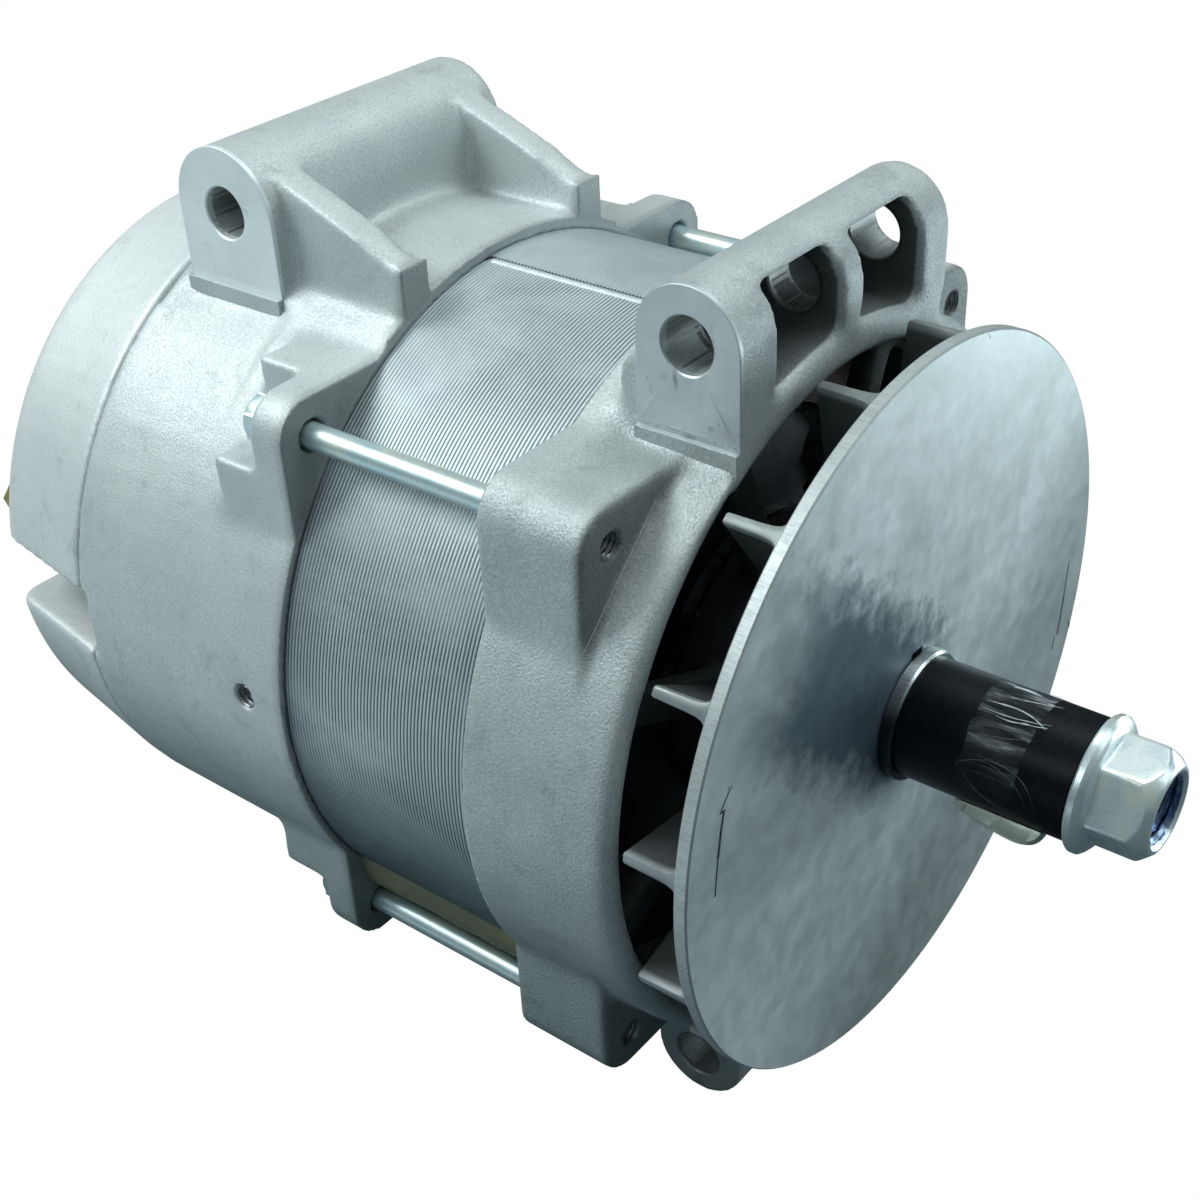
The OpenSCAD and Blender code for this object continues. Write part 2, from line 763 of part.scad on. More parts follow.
module rear_bearing_outer_race() {
    color([0.75, 0.76, 0.78])
        race(rb_or, rb_or - (rb_or - rb_ir) * race_t, rb_y0, rb_y1, rb_pitch, rb_ball);
}

module rear_bearing_inner_race() {
    color([0.75, 0.76, 0.78])
        race(rb_ir + (rb_or - rb_ir) * race_t, rb_ir, rb_y0, rb_y1, rb_pitch, rb_ball);
}

module rear_bearing_balls() {
    color([0.85, 0.86, 0.88]) balls(rb_count, rb_pitch, rb_ball, (rb_y0 + rb_y1) / 2);
}

module rear_bearing_cage() {
    color([0.70, 0.62, 0.40]) cage(rb_count, rb_pitch, rb_ball, (rb_y0 + rb_y1) / 2);
}

module bearing_retainer() {
    color([0.62, 0.64, 0.66]) difference() {
        yring(fb_hub_r, fb_ir + 7, fb_y1 + 0.05, fb_y1 + retainer_t);
        for (i = [0:3]) at_angle(45 + i * 90, retainer_circle_r)
            ycyl(screw_r + rod_fit, fb_y1 - 1, fb_y1 + retainer_t + 1);
    }
}

module retainer_screws() {
    color([0.70, 0.72, 0.74]) for (i = [0:3]) at_angle(45 + i * 90, retainer_circle_r) {
        ycyl(screw_r, fb_y0 - hub_lip - 1, fb_y1 + retainer_t);
        ycyl(2 * screw_r, fb_y0 - hub_lip - 2.5, fb_y0 - hub_lip);
    }
}

module through_bolts() {
    color([0.78, 0.84, 0.85]) at_bolts() {
        ycyl(rod_r, de_lug_y + lug_thread_len, head_seat_y + washer_t + 1);
        yhex(rod_head_af, head_seat_y + washer_t, head_seat_y + washer_t + rod_head_h);
    }
}

module through_bolt_washers() {
    color([0.55, 0.58, 0.58]) at_bolts()
        yring(rod_head_af / 2 + 1, rod_r + 0.1, head_seat_y, head_seat_y + washer_t);
}

module rear_cover_bolts() {
    color([0.80, 0.72, 0.40]) for (a = cover_bolt_angles) at_angle(a, cover_bolt_circle_r) {
        ycyl(cover_bolt_r, re_rear_y - cover_post_len, cover_rear_y + 1);
        yhex(cover_bolt_af, cover_rear_y, cover_rear_y + cover_bolt_h);
    }
}

// One heat sink: an arc of plate round the shaft's lower side
module sink_plate(y0, y1, r_out, start, sweep) {
    translate([0, y1, 0]) rotate([90, 0, 0]) rotate([0, 0, start])
        rotate_extrude(angle = sweep) translate([sink_in_r, 0]) square([r_out - sink_in_r, y1 - y0]);
}

module heat_sink_negative() {
    color([0.66, 0.68, 0.68]) difference() {
        sink_plate(neg_y0, neg_y1, sink_out_r, sink_start, sink_sweep);
        for (a = diode_angles) at_angle(a, diode_circle_r) ycyl(diode_r + fit, neg_y0 - 1, neg_y1 + 1);
        for (a = post_angles) at_angle(a, post_circle_r)
            ycyl(screw_r + 0.2, neg_y0 - 1, neg_y1 + 1);
    }
}

module heat_sink_positive() {
    color([0.66, 0.68, 0.68]) difference() {
        sink_plate(pos_y0, pos_y1, sink_out_r - 4, sink_start, sink_sweep);
        for (a = diode_angles) at_angle(a, diode_circle_r) ycyl(diode_r + fit, pos_y0 - 1, pos_y1 + 1);
        for (a = post_angles) at_angle(a, post_circle_r) ycyl(3.4, pos_y0 - 1, pos_y1 + 1);
        at_angle(180 - stud_angle, diode_circle_r) ycyl(stud_neck_r + fit, pos_y0 - 1, pos_y1 + 1);
    }
}

// Pressed diodes with their leads; the leads of the two rows face each other
module diodes_negative() {
    color([0.35, 0.36, 0.38]) for (a = diode_angles) at_angle(a, diode_circle_r) {
        ycyl(diode_r, neg_y0 - 1.5, neg_y1);
        ycyl(diode_r * 0.5, neg_y1 - 1, neg_y1 + 2);
        ycyl(0.8, neg_y1 + 1, lead_y - tail_r);
    }
}

module diodes_positive() {
    color([0.45, 0.30, 0.28]) for (a = diode_angles) at_angle(a, diode_circle_r) {
        ycyl(diode_r, pos_y0, pos_y1 + 1.5);
        ycyl(diode_r * 0.5, pos_y0 - 2, pos_y0 + 1);
        ycyl(0.8, lead_y + tail_r, pos_y0 - 1);
    }
}

module sink_insulators() {
    color([0.75, 0.70, 0.60]) for (a = post_angles) at_angle(a, post_circle_r) difference() {
        union() {
            ycyl(post_r, neg_y1, pos_y0);
            ycyl(3.3, pos_y0 - 1, pos_y1 + 0.5);
        }
        ycyl(screw_r + 0.2, neg_y1 - 1, pos_y1 + 2);
    }
}

module sink_screws() {
    color([0.75, 0.76, 0.78]) for (a = post_angles) at_angle(a, post_circle_r) {
        ycyl(screw_r + 0.15, re_web_y1 + 3, pos_y1 + 2);
        yhex(7, pos_y1 + 0.5, pos_y1 + 3.5);
    }
}

module brush_holder() {
    color([0.16, 0.15, 0.14]) difference() {
        union() {
            translate([-holder_half, holder_y0, holder_z0])
                cube([2 * holder_half, holder_y1 - holder_y0, holder_z1 - holder_z0]);
            translate([-holder_half, re_web_y1, brush_z1 - 6])
                cube([2 * holder_half, holder_y0 - re_web_y1 + 1, holder_z1 - brush_z1 + 6]);
        }
        for (y = ring_ys) translate([-brush_w / 2 - brush_play, y + ring_w / 2 - brush_w / 2 - brush_play,
            holder_z0 - 1])
            cube([brush_w + 2 * brush_play, brush_w + 2 * brush_play, spring_z1 - holder_z0 + 1]);
    }
}

module brush(y) {
    translate([-brush_w / 2, y + ring_w / 2 - brush_w / 2, brush_z0])
        cube([brush_w, brush_w, brush_len]);
}

module brush_front() {
    color([0.22, 0.22, 0.23]) brush(ring_ys[0]);
}

module brush_rear() {
    color([0.22, 0.22, 0.23]) brush(ring_ys[1]);
}

// A coil spring, swept round its own axis as one closed tube
module coil_spring(length) {
    sides = 8;
    per_turn = 12;
    steps = spring_turns * per_turn;
    rise = length - 2 * spring_wire;
    points = [for (i = [0:steps], k = [0:sides - 1])
        let (a = i * 360 / per_turn, b = k * 360 / sides, r = spring_r + spring_wire * cos(b))
        [r * cos(a), r * sin(a), spring_wire + rise * i / steps + spring_wire * sin(b)]];
    sides_faces = [for (i = [0:steps - 1], k = [0:sides - 1])
        let (n = (k + 1) % sides)
        [i * sides + k, i * sides + n, (i + 1) * sides + n, (i + 1) * sides + k]];
    ends = [[for (k = [sides - 1:-1:0]) k], [for (k = [0:sides - 1]) steps * sides + k]];
    polyhedron(points, concat(sides_faces, ends), convexity = 4);
}

module brush_spring(y) {
    translate([0, y + ring_w / 2, brush_z1 + 0.05]) coil_spring(spring_len - 0.1);
}

module brush_spring_front() {
    color([0.80, 0.78, 0.70]) brush_spring(ring_ys[0]);
}

module brush_spring_rear() {
    color([0.80, 0.78, 0.70]) brush_spring(ring_ys[1]);
}

module voltage_regulator() {
    z0 = holder_z0 + 6;
    color([0.20, 0.22, 0.24]) union() {
        translate([-regulator_w / 2, holder_y1, z0]) cube([regulator_w, regulator_t, regulator_h]);
        for (i = [0:regulator_ribs - 1])
            translate([-regulator_w / 2 + 1 + i * (regulator_w - 4) / (regulator_ribs - 1),
                holder_y1 + regulator_t - 1, z0 + 1]) cube([2, 5, regulator_h - 2]);
    }
}

module capacitor() {
    color([0.60, 0.62, 0.64]) at_angle(45, capacitor_circle_r) {
        ycyl(capacitor_r, re_web_y1, re_web_y1 + capacitor_len);
        ycyl(capacitor_r * 0.35, re_web_y1 + capacitor_len - 1, re_web_y1 + capacitor_len + 3);
    }
}

module output_stud() {
    color([0.80, 0.74, 0.45]) translate([stud_x, 0, notch_z]) {
        ycyl(stud_neck_r, pos_y0 - 1, insulator_y1 + output_nut_h + 1);
        ycyl(stud_r, insulator_y1 + output_nut_h + 0.2, stud_y1);
        yhex(12, pos_y0 - 3, pos_y0);
    }
}

module output_insulator() {
    color([0.75, 0.25, 0.15]) translate([stud_x, 0, notch_z]) difference() {
        union() {
            ycyl(insulator_r, pos_y1, insulator_y1);
            translate([-insulator_block, pos_y1, -insulator_r])
                cube([insulator_block + insulator_r, re_rear_y - pos_y1 + 2, 2 * insulator_r]);
        }
        ycyl(stud_neck_r + fit, pos_y1 - 1, insulator_y1 + 1);
    }
}

module output_nut() {
    color([0.80, 0.74, 0.45]) translate([stud_x, 0, notch_z]) difference() {
        union() {
            ycyl(7.6, insulator_y1, insulator_y1 + output_washer_t);
            yhex(13, insulator_y1 + 1, insulator_y1 + output_nut_h);
        }
        ycyl(stud_neck_r + rod_fit, insulator_y1 - 1, insulator_y1 + output_nut_h + 1);
    }
}

module ground_stud() {
    color([0.78, 0.80, 0.82]) translate([ground_x, 0, ground_z]) {
        ycyl(ground_neck_r, cover_rear_y - 7, ground_nut_y1 + 1);
        ycyl(ground_r, ground_nut_y1 + 0.2, cover_rear_y + 16);
    }
}

module ground_nut() {
    color([0.78, 0.80, 0.82]) translate([ground_x, 0, ground_z]) difference() {
        yhex(10, cover_rear_y + ground_pad_t, ground_nut_y1);
        ycyl(ground_neck_r + rod_fit, cover_rear_y, ground_nut_y1 + 1);
    }
}

module shaft() {
    color([0.70, 0.71, 0.73]) difference() {
        union() {
            ycyl(thread_r, nut_front_y + shaft_recess, -seat_len + 1);
            ycyl(shaft_r, -seat_len, fan_back_y + 1);
            ycyl(shaft_r, fan_back_y, fb_y0 + 0.5);
            ycyl(fb_ir, fb_y0, rotor_y0);
            ycyl(core_shaft_r, fb_y1, rb_y0);
            ycyl(rb_ir, rb_y0 - 1, rb_y1 + 2);
            ycyl(rb_ir - shaft_step, rb_y1, shaft_rear_y);
        }
        key_seat();
        for (a = field_lead_angles) at_angle(a) translate([field_lead_r - 1, field_lead_y, -1])
            cube([core_shaft_r, rings_y0 + 6 - field_lead_y, 2]);
    }
}

// The half moon seat for the fan's key
module key_seat() {
    translate([0, fan_back_y / 2, shaft_r]) rotate([0, 90, 0])
        cylinder(r = fan_back_y / 2 - 1, h = fan_key_w, center = true);
}

module fan_key() {
    color([0.62, 0.64, 0.66]) intersection() {
        translate([0, fan_back_y / 2, shaft_r]) rotate([0, 90, 0])
            cylinder(r = fan_back_y / 2 - 1.05, h = fan_key_w - 0.1, center = true);
        translate([-keyway_w, 0, 0]) cube([2 * keyway_w, fan_back_y, shaft_r + 2.4]);
    }
}

module fan() {
    color([0.62, 0.68, 0.72]) difference() {
        union() {
            ycyl(fan_r, 0, fan_disc);
            ycyl(fan_hub_r, 0, fan_back_y);
            intersection() {
                ycyl(fan_r - 1, 0, fan_back_y);
                for (i = [0:blades - 1]) at_angle(fan_turn + i * 360 / blades)
                    translate([fan_hub_r - 2, 1, -blade_t / 2])
                        cube([fan_r, fan_back_y - 1, blade_t]);
            }
        }
        ycyl(shaft_r + fit, -1, fan_back_y + 1);
        translate([-keyway_w / 2, -1, shaft_r - 2])
            cube([keyway_w, fan_back_y + 2, keyway_top - shaft_r + 2]);
    }
}

module fan_spacer() {
    color([0.60, 0.61, 0.62]) yring(fb_ir + 4, shaft_r + fit, fan_back_y, fb_y0);
}

// The star shaped plate of a claw pole
module pole_plate() {
    along_y(0, pole_t) difference() {
        union() {
            circle(coil_r - 1);
            intersection() {
                circle(rotor_r);
                union() for (i = [0:claws - 1]) rotate(i * 360 / claws)
                    translate([0, -claw_root / 2]) square([rotor_r + 5, claw_root]);
            }
        }
        circle(core_shaft_r + fit);
    }
}

// One tapered claw that reaches over the field coil
module claw() {
    root = claw_root / 2 - claw_relief;
    intersection() {
        yring(rotor_r - claw_relief, rotor_r - claw_t, pole_t - 2, claw_len);
        along_x(rotor_r - claw_t - 4, rotor_r + 2) polygon([[pole_t - 3, -root],
            [claw_len + 1, -claw_tip / 2], [claw_len + 1, claw_tip / 2], [pole_t - 3, root]]);
    }
}

module claw_pole() {
    union() {
        pole_plate();
        for (i = [0:claws - 1]) at_angle(i * 360 / claws) claw();
    }
}

module rotor_pole_front() {
    color([0.40, 0.42, 0.44]) translate([0, rotor_y0, 0]) claw_pole();
}

module rotor_pole_rear() {
    color([0.40, 0.42, 0.44]) difference() {
        translate([0, rotor_y1, 0]) rotate([0, 180 / claws, 0]) mirror([0, 1, 0]) claw_pole();
        for (a = field_lead_angles) at_angle(a, field_hole_r)
            ycyl(field_wire_r + 0.2, rotor_y1 - pole_t - 1, rotor_y1 + 1);
    }
}

module rotor_hub() {
    color([0.45, 0.46, 0.48])
        yring(coil_hub_r, core_shaft_r + fit, rotor_y0 + pole_t, rotor_y1 - pole_t);
}

module coil_bobbin() {
    y0 = rotor_y0 + pole_t + coil_gap;
    y1 = rotor_y1 - pole_t - coil_gap;
    color([0.25, 0.22, 0.20]) difference() {
        union() {
            yring(coil_hub_r + fit + bobbin_t, coil_hub_r + fit, y0, y1);
            yring(coil_r, coil_hub_r + fit + 0.5, y0, y0 + bobbin_t);
            yring(coil_r, coil_hub_r + fit + 0.5, y1 - bobbin_t, y1);
        }
        for (a = field_lead_angles) at_angle(a, field_hole_r)
            ycyl(field_wire_r + 0.2, y1 - bobbin_t - 1, y1 + 1);
    }
}

module field_coil() {
    gap = coil_gap + bobbin_t + 0.05;
    color([0.74, 0.40, 0.18]) yring(coil_r - 1, coil_hub_r + fit + bobbin_t + 0.05,
        rotor_y0 + pole_t + gap, rotor_y1 - pole_t - gap);
}

module slip_ring_hub() {
    color([0.20, 0.17, 0.14])
        yring(ring_hub_r, rb_ir - shaft_step + fit, rings_y0 - 2, ring_ys[1] + ring_w + 2);
}

module slip_rings() {
    color([0.80, 0.48, 0.26]) for (y = ring_ys) yring(ring_r, ring_hub_r + fit, y, y + ring_w);
}

module field_leads() {
    color([0.60, 0.20, 0.12]) for (a = field_lead_angles) at_angle(a) {
        translate([field_lead_r, 0, 0]) ycyl(field_wire_r, field_lead_y + 0.1, rings_y0 + 5);
        translate([field_lead_r, field_lead_y + 1, 0]) rotate([0, 90, 0])
            cylinder(r = field_wire_r, h = field_hole_r - field_lead_r);
        translate([field_hole_r, 0, 0])
            ycyl(field_wire_r, rotor_y1 - pole_t - coil_gap - bobbin_t, field_lead_y + 1.9);
    }
}

module shaft_sleeve() {
    color([0.06, 0.07, 0.08]) yring(sleeve_r, shaft_r + fit, -seat_len, -seat_washer_t);
}

module seat_washer() {
    color([0.80, 0.82, 0.82]) yring(seat_washer_r, shaft_r + fit, -seat_washer_t, 0);
}

module shaft_nut() {
    color([0.80, 0.85, 0.84]) difference() {
        union() {
            ycyl(nut_flange_r, -seat_len - nut_flange, -seat_len);
            intersection() {
                yhex(nut_af, nut_front_y, -seat_len - 1);
                around_y() polygon([[0, nut_front_y], [nut_af / 2 - 1, nut_front_y],
                    [nut_af / sqrt(3) + 0.1, nut_front_y + 2.6],
                    [nut_af / sqrt(3) + 0.1, -seat_len], [0, -seat_len]]);
            }
        }
        ycyl(thread_r + rod_fit, nut_front_y - 1, -seat_len + 1);
        around_y() polygon([[0, nut_front_y - 0.1], [thread_r + 1.3, nut_front_y - 0.1],
            [thread_r, nut_front_y + 1.4], [0, nut_front_y + 1.4]]);
    }
}

// The loose half moon key, taped flat against the sleeve
module taped_key() {
    color([0.66, 0.64, 0.56]) at_angle(key_angle, sleeve_r + 0.05) translate([0, key_y, 0])
        intersection() {
            translate([0, 0, key_h / 2 - key_d / 2]) rotate([0, 90, 0])
                cylinder(r = key_d / 2, h = key_t);
            translate([-1, -key_d, -key_h / 2]) cube([key_t + 2, 2 * key_d, key_h]);
        }
}

// Half section of the tape's loop round the sleeve and the key
module tape_loop(t) {
    circle(sleeve_r + t);
    rotate(key_angle) translate([sleeve_r - 4, -key_h / 2 - t])
        square([key_t + 4.05 + t, key_h + 2 * t]);
}

module key_tape() {
    color([0.60, 0.66, 0.68, 0.5]) along_y(tape_y - tape_w / 2, tape_y + tape_w / 2)
        difference() {
            tape_loop(0.4);
            tape_loop(0.05);
        }
}

drive_end_housing();
rear_housing();
rear_cover();
stator_core();
stator_winding();
stator_leads();
front_bearing_outer_race();
front_bearing_inner_race();
front_bearing_balls();
front_bearing_cage();
bearing_retainer();
retainer_screws();
rear_bearing_outer_race();
rear_bearing_inner_race();
rear_bearing_balls();
rear_bearing_cage();
through_bolts();
through_bolt_washers();
rear_cover_bolts();
heat_sink_negative();
heat_sink_positive();
diodes_negative();
diodes_positive();
sink_insulators();
sink_screws();
brush_holder();
brush_front();
brush_rear();
brush_spring_front();
brush_spring_rear();
voltage_regulator();
capacitor();
output_stud();
output_insulator();
output_nut();
ground_stud();
ground_nut();
shaft();
fan();
fan_spacer();
rotor_pole_front();
rotor_pole_rear();
rotor_hub();
field_coil();
coil_bobbin();
slip_ring_hub();
slip_rings();
field_leads();
shaft_sleeve();
seat_washer();
shaft_nut();
fan_key();
taped_key();
key_tape();
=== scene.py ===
"""Looks of the truck alternator: cast skins, machined faces, fan, bolts, film and light.

Lengths in this script are in millimetres, and MM turns them into Blender's metres.
The shaft lies along Y, the fan faces -Y, and +Z is up.
"""

import math

import bmesh
import bpy
import numpy as np
from mathutils import Matrix, Vector, noise
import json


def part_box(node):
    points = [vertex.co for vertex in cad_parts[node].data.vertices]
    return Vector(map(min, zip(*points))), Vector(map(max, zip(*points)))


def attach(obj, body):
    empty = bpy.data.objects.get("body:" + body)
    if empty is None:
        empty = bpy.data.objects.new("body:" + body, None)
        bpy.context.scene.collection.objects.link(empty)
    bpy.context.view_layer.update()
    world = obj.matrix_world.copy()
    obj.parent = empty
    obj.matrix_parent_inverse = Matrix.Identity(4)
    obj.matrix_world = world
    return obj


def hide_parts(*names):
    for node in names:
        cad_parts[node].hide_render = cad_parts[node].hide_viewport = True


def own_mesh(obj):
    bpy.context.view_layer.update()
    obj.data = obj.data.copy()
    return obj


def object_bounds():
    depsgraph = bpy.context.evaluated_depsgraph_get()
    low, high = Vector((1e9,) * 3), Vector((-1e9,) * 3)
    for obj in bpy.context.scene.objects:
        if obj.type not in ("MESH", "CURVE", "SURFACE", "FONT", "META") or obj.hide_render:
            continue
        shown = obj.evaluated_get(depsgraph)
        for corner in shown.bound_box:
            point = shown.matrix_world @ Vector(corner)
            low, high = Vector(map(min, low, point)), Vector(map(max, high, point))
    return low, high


MM = 0.001
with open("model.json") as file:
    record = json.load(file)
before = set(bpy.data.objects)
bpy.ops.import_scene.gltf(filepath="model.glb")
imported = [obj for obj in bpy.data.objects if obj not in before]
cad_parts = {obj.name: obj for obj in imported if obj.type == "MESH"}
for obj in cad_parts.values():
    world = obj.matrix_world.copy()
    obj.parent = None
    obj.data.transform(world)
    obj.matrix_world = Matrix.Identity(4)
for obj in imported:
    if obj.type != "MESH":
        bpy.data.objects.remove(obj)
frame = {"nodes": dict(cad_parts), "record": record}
cad_bounds = [list(corner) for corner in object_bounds()]


def low(node):
    """A CAD node's lowest corner, in millimetres."""
    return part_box(node)[0] / MM


def high(node):
    """A CAD node's highest corner, in millimetres."""
    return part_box(node)[1] / MM


# Places and sizes taken from the frame
fan_back_y = high("fan").y
fan_r = high("fan").x
front_y0 = low("drive_end_housing").y
front_y1 = high("drive_end_housing").y
rear_y0 = low("rear_housing").y
rear_y1 = high("rear_housing").y
sleeve_r = high("shaft_sleeve").x
sleeve_y0 = low("shaft_sleeve").y
sleeve_y1 = high("shaft_sleeve").y
nut_y0 = low("shaft_nut").y
nut_y1 = high("shaft_nut").y
flange_r = high("shaft_nut").x
core_r = high("stator_core").x
bolt_washer_r = 6.5
bolt_off = high("through_bolt_washers").x - bolt_washer_r
seat_y = low("through_bolt_washers").y
washer_y1 = high("through_bolt_washers").y
tape_y0 = low("key_tape").y
tape_y1 = high("key_tape").y

# Sizes that the frame's boxes do not give
boss_hole_r = 6.5
boss_z = 102.0
ear_z = -101.5
front_boss_r = 13.0
rear_boss_r = 16.0
front_boss_y = front_y0 + front_boss_r
rear_boss_y = rear_y1 - 23.0
boss_x = 42.0
mill_floor = 81.5
front_ledge_z = 81.5
rear_ledge_z = 83.6
pocket_r = 10.6
rod_r = 3.175
tapped_r = 3.2
lug_front_y = 33.7
side_hole_y = rear_y0 + 13.4
side_hole_z = 4.5
key_angle = math.radians(232)

# The camera that was fitted to the photograph
PHOTO_SIDE = 1200
SENSOR = 36.0
FOCAL_PX = 1794.4
CENTRE_PX = (609.3, 665.4)
EYE = Vector((-308.9, -160.7, 255.7)) * MM
RIGHT = Vector((0.61205, -0.78988, -0.03858))
DOWN = Vector((-0.47245, -0.32610, -0.81881))


def add(name, mesh, smooth=True):
    """A new object in the scene with its faces shaded smooth or flat."""
    obj = bpy.data.objects.new(name, mesh)
    bpy.context.scene.collection.objects.link(obj)
    mesh.polygons.foreach_set("use_smooth", [smooth] * len(mesh.polygons))
    return obj


def mesh_of(name, points, faces):
    """A mesh from points in millimetres and faces."""
    mesh = bpy.data.meshes.new(name)
    mesh.from_pydata([tuple(c * MM for c in p) for p in points], [], faces)
    mesh.validate()
    return mesh


def baked(obj):
    """Applies an object's modifiers to its mesh."""
    depsgraph = bpy.context.evaluated_depsgraph_get()
    mesh = bpy.data.meshes.new_from_object(obj.evaluated_get(depsgraph))
    obj.modifiers.clear()
    obj.data = mesh
    return obj


def sharpen(obj, degrees=32):
    """Keeps creases steeper than an angle, and shades the rest smooth."""
    mesh = obj.data
    mesh.polygons.foreach_set("use_smooth", [True] * len(mesh.polygons))
    mesh.set_sharp_from_angle(angle=math.radians(degrees))
    return obj


def turns(count):
    """Angles that divide a full turn."""
    return [2 * math.pi * k / count for k in range(count)]


def polar(radius, turn, y, side=0.0, centre=(0.0, 0.0)):
    """A point at a radius and an angle round an axis along Y, moved sideways by side."""
    return (centre[0] + radius * math.cos(turn) - side * math.sin(turn), y,
            centre[1] + radius * math.sin(turn) + side * math.cos(turn))


def lathe(name, profile, segments=128, centre=(0.0, 0.0), close=True):
    """Turns a profile of (radius, y) points round an axis along Y."""
    points = [polar(r, turn, y, centre=centre) for turn in turns(segments) for r, y in profile]
    faces = []
    rows = len(profile)
    spans = rows if close else rows - 1
    for k in range(segments):
        n = (k + 1) % segments
        for i in range(spans):
            j = (i + 1) % rows
            faces.append((k * rows + i, k * rows + j, n * rows + j, n * rows + i))
    return sharpen(add(name, mesh_of(name, points, faces)))


def loft(name, rings, ends="both"):
    """Joins rings of points, each as long as the others. ends closed: both, last or none."""
    count = len(rings[0])
    points = [p for ring in rings for p in ring]
    faces = []
    for i in range(len(rings) - 1):
        for k in range(count):
            n = (k + 1) % count
            faces.append((i * count + k, i * count + n, (i + 1) * count + n, (i + 1) * count + k))
    if ends == "both":
        faces.append(tuple(range(count - 1, -1, -1)))
    if ends != "none":
        faces.append(tuple((len(rings) - 1) * count + k for k in range(count)))
    return sharpen(add(name, mesh_of(name, points, faces)))


def ribbon(name, points):
    """A strip through pairs of points, one pair after another."""
    faces = [(k, k + 1, k + 3, k + 2) for k in range(0, len(points) - 2, 2)]
    return add(name, mesh_of(name, points, faces))


def join(name, pieces):
    """Joins several objects into one, so that repeated small pieces share a name."""
    work = bmesh.new()
    for piece in pieces:
        work.from_mesh(piece.data)
        bpy.data.objects.remove(piece)
    mesh = bpy.data.meshes.new(name)
    work.to_mesh(mesh)
    work.free()
    return sharpen(add(name, mesh))


def with_painted_shade(obj, darkness):
    """Marks each point's painted shade on a mesh, as darkness(place in millimetres) says."""
    marks = obj.data.attributes.new("painted_shade", "FLOAT", "POINT")
    for vertex, mark in zip(obj.data.vertices, marks.data):
        mark.value = darkness(vertex.co / MM)
    return obj


def facing_out(obj):
    """Turns all faces of a closed form outward."""
    work = bmesh.new()
    work.from_mesh(obj.data)
    bmesh.ops.recalc_face_normals(work, faces=work.faces)
    work.to_mesh(obj.data)
    work.free()
    return obj


# The core's sheets as they show at its outside
SHEETS_FROM = front_y1 - 1.0
SHEETS_TO = rear_y0 + 1.0
SHEET_COUNT = round((SHEETS_TO - SHEETS_FROM) / 1.03)
SHEET_PITCH = (SHEETS_TO - SHEETS_FROM) / SHEET_COUNT
SHEET_GROOVE = 0.22

# Materials

def feed(socket, value):
    """Links a socket to another one, or gives it a number or a colour."""
    if isinstance(value, bpy.types.NodeSocket):
        socket.id_data.links.new(value, socket)
    elif socket.type == "RGBA":
        socket.default_value = (*value, 1.0)
    else:
        socket.default_value = value


def added(tree, kind, feeds):
    """A new shader node whose inputs are fed, by name or by number."""
    node = tree.nodes.new("ShaderNode" + kind)
    for key, value in feeds.items():
        feed(node.inputs[key], value)
    return node


def new_material(name):
    """A node material, and the object's coordinates in it."""
    material = bpy.data.materials.new(name)
    material.use_nodes = True
    return material, added(material.node_tree, "TexCoord", {}).outputs["Object"]


def filled(material, feeds):
    """Feeds a material's shader by the names of its inputs."""
    shader = material.node_tree.nodes["Principled BSDF"]
    for key, value in feeds.items():
        feed(shader.inputs[key], value)
    return material


def stretched(source, scale, turn=0.0):
    """Coordinates turned about Y, with each axis stretched."""
    feeds = {"Vector": source, "Rotation": (0, turn, 0), "Scale": scale}
    return added(source.id_data, "Mapping", feeds).outputs["Vector"]


def painted_shade(source):
    """How much painted shade a point has, from its mesh: 0 where the mesh says nothing."""
    node = added(source.id_data, "Attribute", {})
    node.attribute_name = "painted_shade"
    return node.outputs["Fac"]


def cloud(source, size, detail=4.0, rough=0.55, distort=0.0):
    """Noise whose blotches are about as large as size, in millimetres."""
    feeds = {"Vector": source, "Scale": 1.0 / (size * MM), "Detail": detail}
    feeds.update({"Roughness": rough, "Distortion": distort})
    return added(source.id_data, "TexNoise", feeds).outputs["Fac"]


def sum_of(first, second, kind="ADD"):
    """Adds a number or a socket to a socket, or reckons with the two in another way."""
    node = added(first.id_data, "Math", {0: first, 1: second})
    node.operation = kind
    return node.outputs["Value"]


def reach(source, way, length, offset=0.0):
    """How far a point lies along a way, in parts of a length in millimetres, plus an offset."""
    node = added(source.id_data, "VectorMath", {0: source, 1: [c / (length * MM) for c in way]})
    node.operation = "DOT_PRODUCT"
    return sum_of(node.outputs["Value"], offset)


def bands(source, start, step):
    """0 at every step along Y from start, in millimetres, and 1 midway between."""
    swing = sum_of(reach(source, (0, 1, 0), step, -start / step), 0.5, "PINGPONG")
    return sum_of(swing, 2.0, "MULTIPLY")


def ramp(fac, *stops):
    """Shades along a factor. Each stop is a place and a colour, or a number for a grey."""
    node = added(fac.id_data, "ValToRGB", {"Fac": fac})
    elements = node.color_ramp.elements
    for k, (place, shade) in enumerate(stops):
        element = elements[k] if k < 2 else elements.new(place)
        element.position = place
        element.color = (*shade, 1.0) if isinstance(shade, tuple) else (shade, shade, shade, 1.0)
    return node.outputs["Color"]


def mix_node(tree, fac, first, second, kind):
    """The mix of two colours, each a socket or three numbers."""
    node = tree.nodes.new("ShaderNodeMix")
    node.data_type = "RGBA"
    node.blend_type = kind
    node.clamp_factor = True
    for key, value in (("Factor", fac), ("A", first), ("B", second)):
        feed(node.inputs[key], value)
    return node.outputs["Result"]


def mixed(fac, first, second):
    """Goes from one colour to another where the socket fac goes from 0 to 1."""
    return mix_node(fac.id_data, fac, first, second, "MIX")


